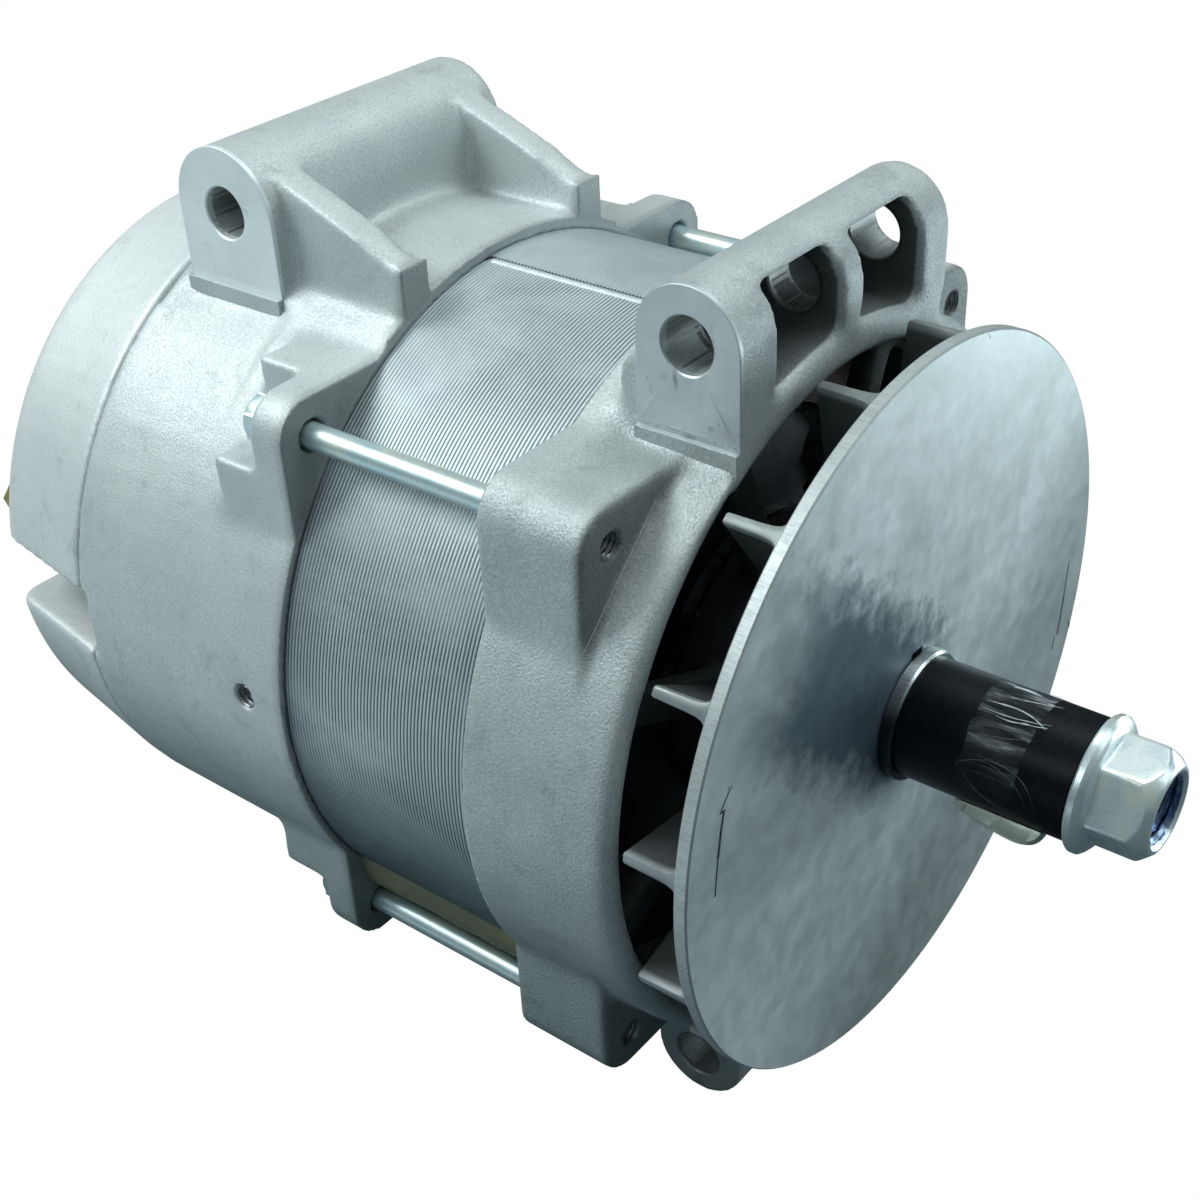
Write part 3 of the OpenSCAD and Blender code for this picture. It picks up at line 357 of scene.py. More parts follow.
def blended(first, second, kind="MULTIPLY"):
    """Two colours laid fully over each other. The first is a socket."""
    return mix_node(first.id_data, 1.0, first, second, kind)


def dimmed(colour, share):
    """A colour with a share of its light."""
    return tuple(share * c for c in colour)


def bumps(*layers):
    """Stacks bumps. Each layer is a height, a strength and a depth in millimetres."""
    normal = None
    for height, strength, depth in layers:
        feeds = {"Strength": strength, "Distance": depth * MM, "Height": height}
        if normal is not None:
            feeds["Normal"] = normal
        normal = added(height.id_data, "Bump", feeds).outputs["Normal"]
    return normal


def cast_metal(name, pale, dark, grain=0.55, depth=0.16, metallic=0.45, rough=(0.46, 0.66)):
    """Blasted sand casting: fine grain, faint clouds, small pits and grey smudges."""
    material, place = new_material(name)
    speck = cloud(place, grain, 2, 0.7)
    base = mixed(ramp(cloud(place, 26, 5, 0.6), (0.32, 0), (0.68, 1)), pale, dark)
    stain = ramp(cloud(place, 9, 6, 0.65, 0.6), (0.57, 0), (0.76, 0.6))
    base = mixed(stain, base, dimmed(dark, 0.62))
    base = blended(base, ramp(speck, (0.30, 0.80), (0.55, 1.0), (0.72, 1.14)))
    # Painted shade: darker towards the bottom.
    height = reach(place, (0, 0, 1), 200, 0.6)
    base = blended(base, ramp(height, (0.02, 1.0), (0.18, (0.60, 0.66, 0.67)), (0.58, 1.0)))
    pits = ramp(cloud(place, 2.4, 3, 0.6), (0.26, 0), (0.36, 1))
    # The mesh's painted shade darkens the base colour.
    return filled(material, {
        "Base Color": mixed(painted_shade(place), base, (0.022, 0.028, 0.028)),
        "Roughness": ramp(speck, (0.3, rough[1]), (0.7, rough[0])),
        "Metallic": metallic,
        "Normal": bumps((cloud(place, 14, 3, 0.5), 0.35, 0.7), (pits, 0.25, 0.12), (speck, 0.9, depth)),
    })


def cut_metal(name, pale, dark, stretch, rough=(0.26, 0.42), metallic=0.9, streak=0.5, stain=0.35):
    """Machined metal: fine streaks along the cutter's way, clouds and a few oily stains."""
    material, place = new_material(name)
    lines = cloud(stretched(place, stretch), streak, 3, 0.6)
    blotch = cloud(place, 16, 4, 0.55, 0.3)
    oil = cloud(stretched(place, (1, 1.6, 0.6)), 6, 5, 0.65, 0.8)
    base = mixed(ramp(blotch, (0.3, 0), (0.7, 1)), pale, dark)
    base = mixed(ramp(lines, (0.35, 0.0), (0.75, 0.35)), base, dark)
    base = mixed(ramp(oil, (0.60, 0), (0.74, stain)), base, dimmed(dark, 0.35))
    # The mesh's painted shade darkens the base colour.
    return filled(material, {
        "Base Color": mixed(painted_shade(place), base, (0.015, 0.022, 0.032)),
        "Roughness": ramp(lines, (0.3, rough[0]), (0.7, rough[1])),
        "Metallic": metallic,
        "Normal": bumps((lines, 0.35, 0.05), (blotch, 0.15, 0.2)),
    })


def zinc(name, base, tints, rough=(0.14, 0.30), cloud_size=5.0, metallic=1.0):
    """Bright zinc plate whose tint drifts between two colours."""
    material, place = new_material(name)
    drift = cloud(place, cloud_size, 3, 0.5, 0.8)
    fine = cloud(place, 0.5, 3, 0.6)
    tint = ramp(drift, (0.28, tints[0]), (0.5, base), (0.74, tints[1]))
    return filled(material, {
        "Base Color": blended(tint, ramp(fine, (0.3, 0.92), (0.7, 1.03))),
        "Roughness": ramp(drift, (0.3, rough[0]), (0.75, rough[1])),
        "Metallic": metallic,
        "Normal": bumps((drift, 0.2, 0.10), (fine, 0.05, 0.01)),
    })


def moulded(name, base, worn, rough=(0.38, 0.60), grain=0.4, depth=0.05, stretch=(1, 1, 1), shine=0.5):
    """Moulded plastic, rubber or varnish with a fine grain and faint scuffs."""
    material, place = new_material(name)
    scuff = cloud(stretched(place, stretch), 3.5, 5, 0.7, 0.5)
    return filled(material, {
        "Base Color": mixed(ramp(scuff, (0.5, 0), (0.8, 0.8)), base, worn),
        "Roughness": ramp(scuff, (0.3, rough[0]), (0.7, rough[1])),
        "Specular IOR Level": shine,
        "Normal": bumps((scuff, 0.2, 0.08), (cloud(place, grain, 2, 0.6), 0.5, depth)),
    })


def lamination_metal(name):
    """Edges of the core's steel sheets: dark lines between them, rubbed away in places, with painted shade
    below and a painted shadow by the rear housing.
    """
    material, place = new_material(name)
    blotch = cloud(place, 18, 5, 0.6, 0.4)
    fine = cloud(place, 0.7, 3, 0.7)
    base = mixed(ramp(blotch, (0.3, 0), (0.72, 1)), (0.60, 0.66, 0.66), (0.48, 0.54, 0.55))
    joint = ramp(bands(place, SHEETS_FROM, SHEET_PITCH), (0.10, 0.10), (0.60, 1.0))
    rub = cloud(stretched(place, (1, 0.5, 1)), 26, 4, 0.6, 0.5)
    across = reach(place, (1, 0, 0), 20, 0.75)
    worn = blended(ramp(rub, (0.36, 0.50), (0.56, 1.0)), ramp(across, (0.30, 1.0), (0.55, 0.35)))
    base = mixed(worn, base, blended(base, joint))
    base = blended(base, ramp(fine, (0.3, 0.90), (0.7, 1.06)))
    # Painted shade: the lower part of the core is darker.
    height = reach(place, (0, 0, 1), 100, 0.8)
    base = blended(base, ramp(height, (0.28, (0.25, 0.32, 0.35)), (0.88, (0.96, 1.0, 1.03))))
    # Painted shadow: darker near the rear housing, on the core's left side.
    rearward = reach(place, (0, 1, 0), 20, -(rear_y0 - 14) / 20)
    leftward = reach(place, (-1, 0, 0), 90)
    shade = blended(ramp(rearward, (0.0, 0), (1.0, 0.7)), ramp(leftward, (0.66, 0), (0.86, 1.0)))
    return filled(material, {
        "Base Color": mixed(shade, base, (0.10, 0.13, 0.16)),
        "Roughness": ramp(fine, (0.3, 0.40), (0.7, 0.56)),
        "Metallic": 0.55,
        "Normal": bumps((blotch, 0.2, 0.3), (fine, 0.3, 0.04)),
    })


def fan_metal(name):
    """Rolled sheet: blue grey clouds, painted shade towards the lower right, a painted dark reflection of
    the sleeve beside the hub and many hair scratches.
    """
    material, place = new_material(name)
    blotch = cloud(place, 34, 6, 0.62, 0.8)
    mottle = cloud(place, 6, 5, 0.6)
    base = ramp(blotch, (0.30, (0.62, 0.70, 0.68)), (0.50, (0.76, 0.84, 0.85)), (0.72, (0.88, 0.95, 0.98)))
    base = blended(base, ramp(mottle, (0.3, 0.86), (0.7, 1.08)))
    # Painted shade: the disc is darker towards its lower right.
    base = blended(base, ramp(reach(place, (1, 0, -1), 160), (0.12, 1.0), (0.42, 0.58)))
    # Painted reflection of the dark sleeve: a blue-black band from the hub towards the upper left.
    ragged = sum_of(sum_of(mottle, -0.5), 0.9, "MULTIPLY")
    aside = sum_of(reach(place, (0.62, 0, 0.78), 26), ragged)
    near = ramp(sum_of(aside, aside, "MULTIPLY"), (0.25, 1.0), (1.0, 0))
    along = sum_of(reach(place, (-0.78, 0, 0.62), 100), sum_of(blotch, 0.25, "MULTIPLY"))
    far = ramp(along, (0.0, 0), (0.16, 0.96), (0.70, 0.88), (1.0, 0.15))
    base = mixed(blended(near, far), base, (0.06, 0.105, 0.15))
    hair = None
    for turn, size in ((0.5, 0.30), (1.9, 0.36), (2.7, 0.26)):
        line = cloud(stretched(place, (1, 1, 0.02), turn), size, 2, 0.5)
        line = ramp(line, (0.70, 0), (0.80, 0.6))
        hair = line if hair is None else blended(hair, line, "LIGHTEN")
    base = mixed(hair, base, (0.74, 0.78, 0.80))
    # The mesh's painted shade darkens the base colour.
    return filled(material, {
        "Base Color": mixed(painted_shade(place), base, (0.03, 0.036, 0.036)),
        "Roughness": ramp(mottle, (0.3, 0.38), (0.7, 0.55)),
        "Metallic": 0.3,
        "Normal": bumps((blotch, 0.2, 0.6), (mottle, 0.2, 0.12), (hair, 0.25, 0.02)),
    })


def rim_metal(name):
    """The fan's turned edge: pale, with fine cuts across it."""
    material, place = new_material(name)
    cuts = cloud(stretched(place, (1, 0.12, 1)), 0.45, 3, 0.65)
    wide = cloud(stretched(place, (1, 0.4, 1)), 5, 4, 0.6)
    base = mixed(ramp(wide, (0.35, 0), (0.7, 1)), (0.54, 0.59, 0.59), (0.47, 0.52, 0.525))
    return filled(material, {
        "Base Color": blended(base, ramp(cuts, (0.30, 0.74), (0.50, 0.97), (0.72, 1.06))),
        "Roughness": ramp(cuts, (0.3, 0.55), (0.7, 0.42)),
        "Metallic": 0.45,
        "Normal": bumps((cuts, 0.5, 0.06)),
    })


def film(name):
    """Clear adhesive film with milky streaks along the shaft, and a painted highlight that makes them
    strongest where it faces up.
    """
    material, place = new_material(name)
    streak = cloud(stretched(place, (1, 0.13, 1)), 2.3, 3, 0.55, 0.4)
    patch = cloud(stretched(place, (1, 0.5, 1)), 7, 3, 0.5, 0.6)
    # Painted highlight: the milky streaks are brighter on the film's upper side.
    painted_top_highlight = ramp(reach(place, (0, 0, 1), 30, 0.5), (0.50, 0.15), (0.92, 1.0))
    milk_and_highlight = blended(ramp(streak, (0.42, 0.0), (0.58, 0.24), (0.68, 0.62)), painted_top_highlight)
    haze = ramp(patch, (0.45, 0.0), (0.68, 0.12))
    return filled(material, {
        "Alpha": blended(milk_and_highlight, haze, "LIGHTEN"),
        "Base Color": mixed(milk_and_highlight, (0.26, 0.32, 0.34), (0.86, 0.91, 0.93)),
        "Roughness": ramp(patch, (0.3, 0.22), (0.7, 0.40)),
        "IOR": 1.49,
        "Normal": bumps((streak, 0.15, 0.10)),
    })


# What each slot's material is made by, and with which colours and measures
SLOT_LOOKS = {
    "drive_end_casting": (cast_metal, (0.55, 0.60, 0.60), (0.44, 0.49, 0.495), 0.60, 0.26),
    "rear_casting": (cast_metal, (0.60, 0.645, 0.645), (0.51, 0.56, 0.565), 0.50, 0.13),
    "cover_casting": (cast_metal, (0.67, 0.71, 0.71), (0.60, 0.645, 0.65), 0.45, 0.08, 0.4),
    "core_steel": (lamination_metal,),
    "winding": (moulded, (0.075, 0.032, 0.014), (0.15, 0.07, 0.03), (0.2, 0.4), 0.6, 0.1),
    "lead_sleeving": (moulded, (0.30, 0.07, 0.04), (0.42, 0.16, 0.10)),
    "bearing_steel": (cut_metal, (0.62, 0.63, 0.65), (0.50, 0.51, 0.53), (1, 0.1, 1), (0.12, 0.25), 1.0),
    "plate_steel": (zinc, (0.55, 0.57, 0.58), ((0.48, 0.52, 0.54), (0.60, 0.60, 0.56))),
    "zinc_bolt": (zinc, (0.58, 0.72, 0.74), ((0.48, 0.68, 0.74), (0.68, 0.74, 0.66)), (0.36, 0.42),
                  8.0, 0.7),
    "washer_steel": (zinc, (0.34, 0.37, 0.38), ((0.28, 0.31, 0.33), (0.40, 0.40, 0.38)), (0.3, 0.5)),
    "yellow_zinc": (zinc, (0.72, 0.60, 0.26), ((0.60, 0.55, 0.30), (0.78, 0.58, 0.30))),
    "sink_aluminium": (cut_metal, (0.60, 0.62, 0.62), (0.50, 0.52, 0.52), (0.1, 1, 1)),
    "diode_black": (moulded, (0.03, 0.03, 0.032), (0.07, 0.07, 0.07)),
    "diode_red": (moulded, (0.24, 0.05, 0.035), (0.32, 0.10, 0.07)),
    "insulator_buff": (moulded, (0.50, 0.43, 0.30), (0.58, 0.52, 0.40)),
    "holder_black": (moulded, (0.025, 0.025, 0.025), (0.06, 0.06, 0.06)),
    "spring_steel": (cut_metal, (0.62, 0.60, 0.52), (0.48, 0.46, 0.40), (1, 1, 0.2)),
    "can_aluminium": (cut_metal, (0.62, 0.64, 0.64), (0.52, 0.54, 0.54), (1, 0.1, 1)),
    "stud_zinc": (zinc, (0.70, 0.62, 0.36), ((0.62, 0.60, 0.42), (0.74, 0.58, 0.34))),
    "insulator_orange": (moulded, (0.74, 0.14, 0.035), (0.80, 0.24, 0.10), (0.25, 0.45)),
    "shaft_steel": (cut_metal, (0.56, 0.57, 0.58), (0.44, 0.45, 0.47), (1, 0.12, 1), (0.2, 0.36), 1.0),
    "fan_aluminium": (fan_metal,),
    "key_steel": (cut_metal, (0.80, 0.87, 0.78), (0.52, 0.58, 0.52), (1, 0.25, 1), (0.3, 0.5),
                  0.6, 1.4, 0.9),
    "pole_iron": (cast_metal, (0.16, 0.17, 0.18), (0.11, 0.115, 0.12), 0.7, 0.15, 0.7, (0.4, 0.6)),
    "bobbin_brown": (moulded, (0.07, 0.045, 0.03), (0.12, 0.08, 0.05)),
    "ring_copper": (cut_metal, (0.75, 0.42, 0.22), (0.60, 0.30, 0.15), (1, 0.1, 1), (0.12, 0.28), 1.0),
    "sleeve_black": (moulded, (0.003, 0.005, 0.008), (0.012, 0.018, 0.024), (0.30, 0.42), 0.5, 0.01,
                     (1, 3, 1), 0.16),
    "washer_bright": (cut_metal, (0.70, 0.73, 0.72), (0.55, 0.58, 0.57), (1, 0.1, 1), (0.18, 0.32), 1.0),
    "nut_zinc": (zinc, (0.84, 0.94, 0.95), ((0.70, 0.84, 0.90), (0.90, 0.97, 0.88)), (0.26, 0.33),
                 7.0, 0.55),
    "tape_film": (film,),
    "ball_steel": (zinc, (0.70, 0.71, 0.73), ((0.66, 0.67, 0.70), (0.72, 0.72, 0.72)), (0.05, 0.12)),
    "cage_steel": (cut_metal, (0.56, 0.47, 0.28), (0.44, 0.36, 0.20), (1, 0.2, 1)),
    "carbon": (moulded, (0.03, 0.03, 0.032), (0.07, 0.07, 0.075), (0.35, 0.5)),
}
looks = {slot: make(slot, *values) for slot, (make, *values) in SLOT_LOOKS.items()}
for entry in frame["record"]["subparts"]:
    cad_mesh = frame["nodes"][entry["node"]].data
    cad_mesh.materials.clear()
    cad_mesh.materials.append(looks[entry["material_slot"]])

milled_face = cut_metal("milled_face", (0.64, 0.69, 0.70), (0.50, 0.55, 0.565), (1, 0.16, 1.2),
                        (0.34, 0.5), 0.5, 0.5, 0.75)
# A paler copy of the milled face for the rear boss: the paler colour is a painted reflection of the bright
# floor.
milled_face_painted_reflection = cut_metal("milled_face_painted_reflection", (0.80, 0.87, 0.88), (0.68, 0.75, 0.76), (1, 0.16, 1.2),
                             (0.34, 0.5), 0.35, 0.5, 0.5)
turned_bore = cut_metal("turned_bore", (0.46, 0.48, 0.47), (0.26, 0.28, 0.27), (0.08, 1, 1),
                        (0.38, 0.55), 0.7, 0.4)
turned_rim = rim_metal("turned_rim")
dark_thread = cut_metal("dark_thread", (0.30, 0.32, 0.32), (0.12, 0.13, 0.13), (1, 1, 1),
                        (0.25, 0.4), 1.0)
weld_metal = cast_metal("weld_metal", (0.70, 0.76, 0.76), (0.52, 0.58, 0.58), 0.5, 0.06, 0.2, (0.35, 0.5))
scribe_line = moulded("scribe_line", (0.05, 0.06, 0.065), (0.12, 0.13, 0.14))
varnish = moulded("varnish", (0.16, 0.17, 0.11), (0.30, 0.29, 0.17), (0.25, 0.5), 1.2, 0.2, (1, 0.3, 1))
# Black for the core's joints, and for painted shadows in the weld's notches.
joint_and_shadow_black = moulded("joint_and_shadow_black", (0.012, 0.014, 0.016), (0.03, 0.035, 0.04), (0.5, 0.7))
# The nut's thread is coloured blue: a painted reflection.
thread_painted_blue_reflection = zinc("thread_painted_blue_reflection", (0.16, 0.22, 0.42), ((0.05, 0.09, 0.30), (0.40, 0.50, 0.55)),
                    (0.16, 0.3), 4.0)
# Painted highlights on the film's creases: white on top, grey on the side.
crease_highlight_white = moulded("crease_highlight_white", (0.62, 0.68, 0.70), (0.80, 0.85, 0.87), (0.3, 0.5))
crease_highlight_grey = moulded("crease_highlight_grey", (0.13, 0.16, 0.17), (0.24, 0.28, 0.29), (0.3, 0.5))
parting_line = moulded("parting_line", (0.46, 0.51, 0.52), (0.58, 0.62, 0.62), (0.4, 0.6))


def dress(obj, body, slot, *nodes, look=None):
    """Gives a piece its material and the body it rides on, and hides the nodes it stands for.

    A piece without a look of its own takes its slot's.
    """
    obj.data.materials.clear()
    obj.data.materials.append(look or looks[slot])
    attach(obj, body)
    if nodes:
        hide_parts(*nodes)
    return obj


# Cast skins

def neighbour_mean(points, edges, count):
    """Mean place of each point's neighbours."""
    total = np.empty_like(points)
    for axis in range(3):
        total[:, axis] = np.bincount(edges[:, 0], points[edges[:, 1], axis], count)
        total[:, axis] += np.bincount(edges[:, 1], points[edges[:, 0], axis], count)
    degree = np.bincount(edges.ravel(), minlength=count).reshape(-1, 1)
    return total / np.maximum(degree, 1)


def cast_skin(name, node, voxel, passes, dark, shape=None):
    """A copy of a casting with its edges rounded, as the mould leaves them.

    passes is a list of (rounds, weight), where weight(points) is 0 where a cutter has been.
    dark(points) gives each point's painted shade, 1 where it is darkest, and shape(points) moves points
    first.
    """
    obj = add(name, frame["nodes"][node].data.copy())
    remesh = obj.modifiers.new("remesh", "REMESH")
    remesh.mode = "VOXEL"
    remesh.voxel_size = voxel * MM
    baked(obj)
    mesh = obj.data
    count = len(mesh.vertices)
    flat = np.empty(count * 3)
    mesh.vertices.foreach_get("co", flat)
    points = flat.reshape(-1, 3) / MM
    # Painted shade for each point, as dark(points) gives it.
    marks = mesh.attributes.new("painted_shade", "FLOAT", "POINT")
    marks.data.foreach_set("value", dark(points))
    pairs = np.empty(len(mesh.edges) * 2, int)
    mesh.edges.foreach_get("vertices", pairs)
    edges = pairs.reshape(-1, 2)
    if shape:
        points = shape(points)
    for rounds, weight in passes:
        share = 0.5 * weight(points).reshape(-1, 1)
        for _ in range(rounds):
            points += share * (neighbour_mean(points, edges, count) - points)
    mesh.vertices.foreach_set("co", (points * MM).ravel())
    mesh.polygons.foreach_set("use_smooth", [True] * len(mesh.polygons))
    mesh.update()
    return obj


def away(distance, width=1.0):
    """0 at no distance, rising to 1 over a width."""
    return np.clip(distance / width, 0, 1)


def hill(value, centre, width):
    """1 at a centre, falling softly to 0 on both sides."""
    return np.exp(-((value - centre) / width) ** 2)


def rod_distance(p):
    """Distance of points from the nearest through bolt's axis."""
    return np.hypot(np.abs(p[:, 0]) - bolt_off, np.abs(p[:, 2]) - bolt_off)


def mill_weight(p, boss_y, radius):
    """0 on a boss's milled left face and along its edge."""
    x, y, z = p.T
    near = (x < -boss_x + 1.2) & (z > mill_floor - 1) & (np.abs(y - boss_y) < radius + 1)
    return np.where(near, 0.0, 1.0)


def drive_end_weight(p):
    """0 where the drive end housing is cut: its bores, threads and the seat of the core."""
    y, z = p[:, 1], p[:, 2]
    keep = mill_weight(p, front_boss_y, front_boss_r)
    for bore_z in (boss_z, ear_z):
        keep *= away(np.hypot(y - front_boss_y, z - bore_z) - boss_hole_r - 0.6)
    return keep * away(rod_distance(p) - rod_r - 1.0) * away(front_y1 - y - 0.6)


def drive_end_blend(p):
    """1 where a lug or a boss runs softly into the ring."""
    x, z = np.abs(p[:, 0]), np.abs(p[:, 2])
    radius = np.hypot(x, z)
    lug = hill(radius, 90.5, 3.5) * (np.maximum(x, z) > 76)
    boss = hill(radius, 92.5, 3.0) * (x < 50) * (z > 76)
    return np.clip(0.45 * lug + boss, 0, 1) * drive_end_weight(p)


def rear_weight(p):
    """0 where the rear housing is cut."""
    y, z = p[:, 1], p[:, 2]
    keep = mill_weight(p, rear_boss_y, rear_boss_r)
    keep *= away(np.hypot(y - rear_boss_y, z - boss_z) - boss_hole_r - 0.6)
    keep *= away(np.hypot(y - side_hole_y, z - side_hole_z) - tapped_r - 0.5)
    return keep * away(y - rear_y0 - 0.6) * away(rod_distance(p) - rod_r - 2.0)


def rear_blend(p):
    """1 where a lug or the boss runs softly into the rear ring."""
    x, y, z = p.T
    radius = np.hypot(x, z)
    boss = hill(radius, 94, 4.0) * (np.abs(x) < 50) * (z > 70)
    lug = hill(radius, 92, 3.0) * (y > seat_y - 4) * (y < rear_y0 + 32)
    return np.clip(boss + 0.6 * lug, 0, 1) * rear_weight(p)


def gusset_blend(p):
    """1 on the ends of the rear boss's gussets, which the mould leaves soft."""
    x, y, z = p.T
    end = away(rear_y0 + 14 - y, 8.0) * away(np.hypot(x, z) - 92.4, 1.5)
    return end * (z > 70) * (np.abs(x) < 47) * away(y - rear_y0 - 0.6)


def cover_weight(p):
    """0 at the cover's seat on the rear housing."""
    return away(p[:, 1] - rear_y1 - 0.1, 0.5)


def drive_end_dark(p):
    """Painted shade: 1 inside the mouth, and less in the boss's pockets and on the lugs' front faces."""
    x, y, z = p.T
    radius = np.hypot(x, z)
    mouth = away(86.0 - radius, 2.0)
    pocket = np.hypot(y - front_boss_y, z - boss_z) < pocket_r + 0.6
    pocket |= (np.abs(y - front_boss_y) < pocket_r + 0.6) & (z < boss_z) & (radius > 84)
    pocket &= (np.abs(x) < 30.5) & (z > 60)
    face = (1 - away(np.abs(y - lug_front_y), 2.5)) * away(radius - 88.0, 4.0)
    face *= away(np.minimum(np.abs(x), np.abs(z)) - 38.0, 6.0)
    return np.maximum(np.maximum(mouth * 0.94, pocket * 0.75), face * 0.5)


def inner_dark(p):
    """Painted shade: nearly 1 inside the rear housing and the cover."""
    x, y, z = p.T
    return away(85.0 - np.hypot(x, z), 3.0) * away(rear_y1 - 4 - y, 2.0) * 0.9


def rear_dark(p):
    """Painted shade: nearly 1 inside, and a grey painted shade on the faces of the lugs that look at the
    core.
    """
    x, y, z = p.T
    face = (1 - away(np.abs(y - rear_y0), 3.0)) * away(np.hypot(x, z) - core_r, 2.0)
    return np.maximum(inner_dark(p), face * 0.36)


def dented(p, y0, y1, deep):
    """Lowers the ring a little beside a boss's milled face, down to the foot of its step."""
    x, y, z = p.T
    radius = np.hypot(x, z)
    turn = np.degrees(np.arctan2(z, x))
    share = away(turn - 112.5, 3.0) * away(142.0 - turn, 22.0)
    share *= away(y - y0, 3.0) * away(y1 - y, 3.0) * away(radius - 87.0, 3.0)
    share *= (x < -boss_x - 0.4) | (z < mill_floor)
    scale = 1 - deep * share / np.maximum(radius, 1)
    return p * np.column_stack([scale, np.ones(len(p)), scale])


VOXEL = 0.85
front_skin = cast_skin("drive_end_skin", "drive_end_housing", VOXEL,
                       [(10, drive_end_weight), (45, drive_end_blend)], drive_end_dark,
                       lambda p: dented(p, front_boss_y - 14, front_boss_y + 19, 2.8))
dress(front_skin, "housing", "drive_end_casting", "drive_end_housing")
rear_skin = cast_skin("rear_housing_skin", "rear_housing", VOXEL,
                      [(9, rear_weight), (45, rear_blend), (40, gusset_blend)], rear_dark,
                      lambda p: dented(p, rear_boss_y - 20, rear_boss_y + 18, 1.6))
dress(rear_skin, "housing", "rear_casting", "rear_housing")
cover_skin = cast_skin("rear_cover_skin", "rear_cover", VOXEL, [(6, cover_weight)], inner_dark)
dress(cover_skin, "housing", "cover_casting", "rear_cover")


# Machined faces and bores

def arch_reach(turn, radius, drop):
    """Distance from an arch's centre to its outline, in one direction."""
    along, up = abs(math.cos(turn)), math.sin(turn)
    if up >= 0:
        return radius
    return min(radius / max(along, 1e-6), drop / -up)


def face_plate(name, x, boss_y, radius, base_z, thick=1.2, proud=0.12):
    """A thin crisp plate that is a boss's milled face, with its hole."""
    bevel = 0.12
    hole = boss_hole_r - 0.05
    drop = boss_z - base_z
    corner = math.atan2(drop, radius)
    ways = sorted(turns(144) + [math.pi + corner, 2 * math.pi - corner])
    side = [arch_reach(t, radius + 0.06, drop) for t in ways]
    edge = [arch_reach(t, radius - bevel, drop - bevel) for t in ways]
    mouth, wall = [hole + 0.35] * len(ways), [hole] * len(ways)
    rings = []
    for radii, depth in ((side, thick), (side, bevel), (edge, 0.0),
                         (mouth, 0.0), (wall, 0.35), (wall, 2.0)):
        rings.append([(x - proud + depth, boss_y + r * math.cos(t), boss_z + r * math.sin(t))
                      for t, r in zip(ways, radii)])
    return facing_out(loft(name, rings, ends="none"))


def mill_ledge(boss, boss_y, radius, z):
    """The step that the cutter leaves under a milled face: a cast wall and its cut top."""
    back, out, deep = -boss_x + 0.8, -boss_x - 1.5, 6.0
    section = [(back, z), (out + 0.1, z), (out, z - 0.12), (out - 0.1, z - deep), (back, z - deep)]
    strip = [(back, z + 0.04), (out + 0.12, z + 0.04), (out + 0.12, z - 0.3), (back, z - 0.3)]
    pieces = []
    for part, outline, half in (("_wall", section, radius), ("_top", strip, radius - 0.1)):
        rings = [[(x, y, h) for x, h in outline] for y in (boss_y - half, boss_y + half)]
        pieces.append(facing_out(loft(boss + "_ledge" + part, rings)))
    return pieces


def liner(name, x0, x1, y, z, radius):
    """A turned bore along X, with a small chamfer at each end."""
    chamfer = 0.4
    wide = radius + chamfer
    rings = []
    for r, x in ((wide, x0), (radius, x0 + chamfer), (radius, x1 - chamfer), (wide, x1)):
        rings.append([(x, y + r * math.cos(turn), z + r * math.sin(turn)) for turn in turns(64)])
    return loft(name, rings, ends="none")


# The rear boss's face takes the paler copy, whose paleness is a painted reflection.
bosses = (
    ("front", front_boss_y, front_boss_r, front_ledge_z, "drive_end_casting", milled_face),
    ("rear", rear_boss_y, rear_boss_r, rear_ledge_z, "rear_casting", milled_face_painted_reflection),
)
for boss, boss_y, radius, z, slot, look in bosses:
    plate = face_plate(boss + "_milled_face", -boss_x, boss_y, radius, z)
    dress(plate, "housing", slot, look=look)
for boss, boss_y, radius, z, slot, _ in bosses:
    wall, top = mill_ledge(boss, boss_y, radius, z)
    dress(wall, "housing", slot)
    dress(top, "housing", slot, look=milled_face)

bore_r = boss_hole_r - 0.04
front_liners = [
    liner("a", -boss_x + 1, -28.0, front_boss_y, boss_z, bore_r),
    liner("b", -3.25, 5.25, front_boss_y, boss_z, bore_r),
    liner("c", 30.0, boss_x, front_boss_y, boss_z, bore_r),
    liner("d", -boss_x, -18.0, front_boss_y, ear_z, bore_r),
]
dress(join("front_bores", front_liners), "housing", "drive_end_casting", look=turned_bore)
rear_liner = liner("rear_bore", -boss_x + 1, boss_x, rear_boss_y, boss_z, bore_r)
dress(rear_liner, "housing", "rear_casting", look=turned_bore)


def thread_tube(name, radius, pitch, length, depth=0.55, segments=40):
    """A threaded hole's wall along +Z from its mouth at z = 0 down to -length."""
    rows = int(length / pitch * 8)
    rings = []
    for i in range(rows + 1):
        z = -length * i / rows
        ring = []
        for k, turn in enumerate(turns(segments)):
            phase = (-z / pitch + k / segments) % 1.0
            crest = radius + depth * (abs(2 * phase - 1) - 0.5) - 0.1
            r = crest if i else radius + 0.35
            ring.append((r * math.cos(turn), r * math.sin(turn), z))
        rings.append(ring)
    rings.append([(0.3 * x, 0.3 * y, z) for x, y, z in rings[-1]])
    return loft(name, rings, ends="last")


def placed(obj, place, axis):
    """Turns an object's +Z to an axis and moves it to a place, in its mesh."""
    turn = Vector(axis).to_track_quat("Z", "Y").to_matrix().to_4x4()
    obj.data.transform(Matrix.Translation(Vector(place) * MM) @ turn)
    return obj


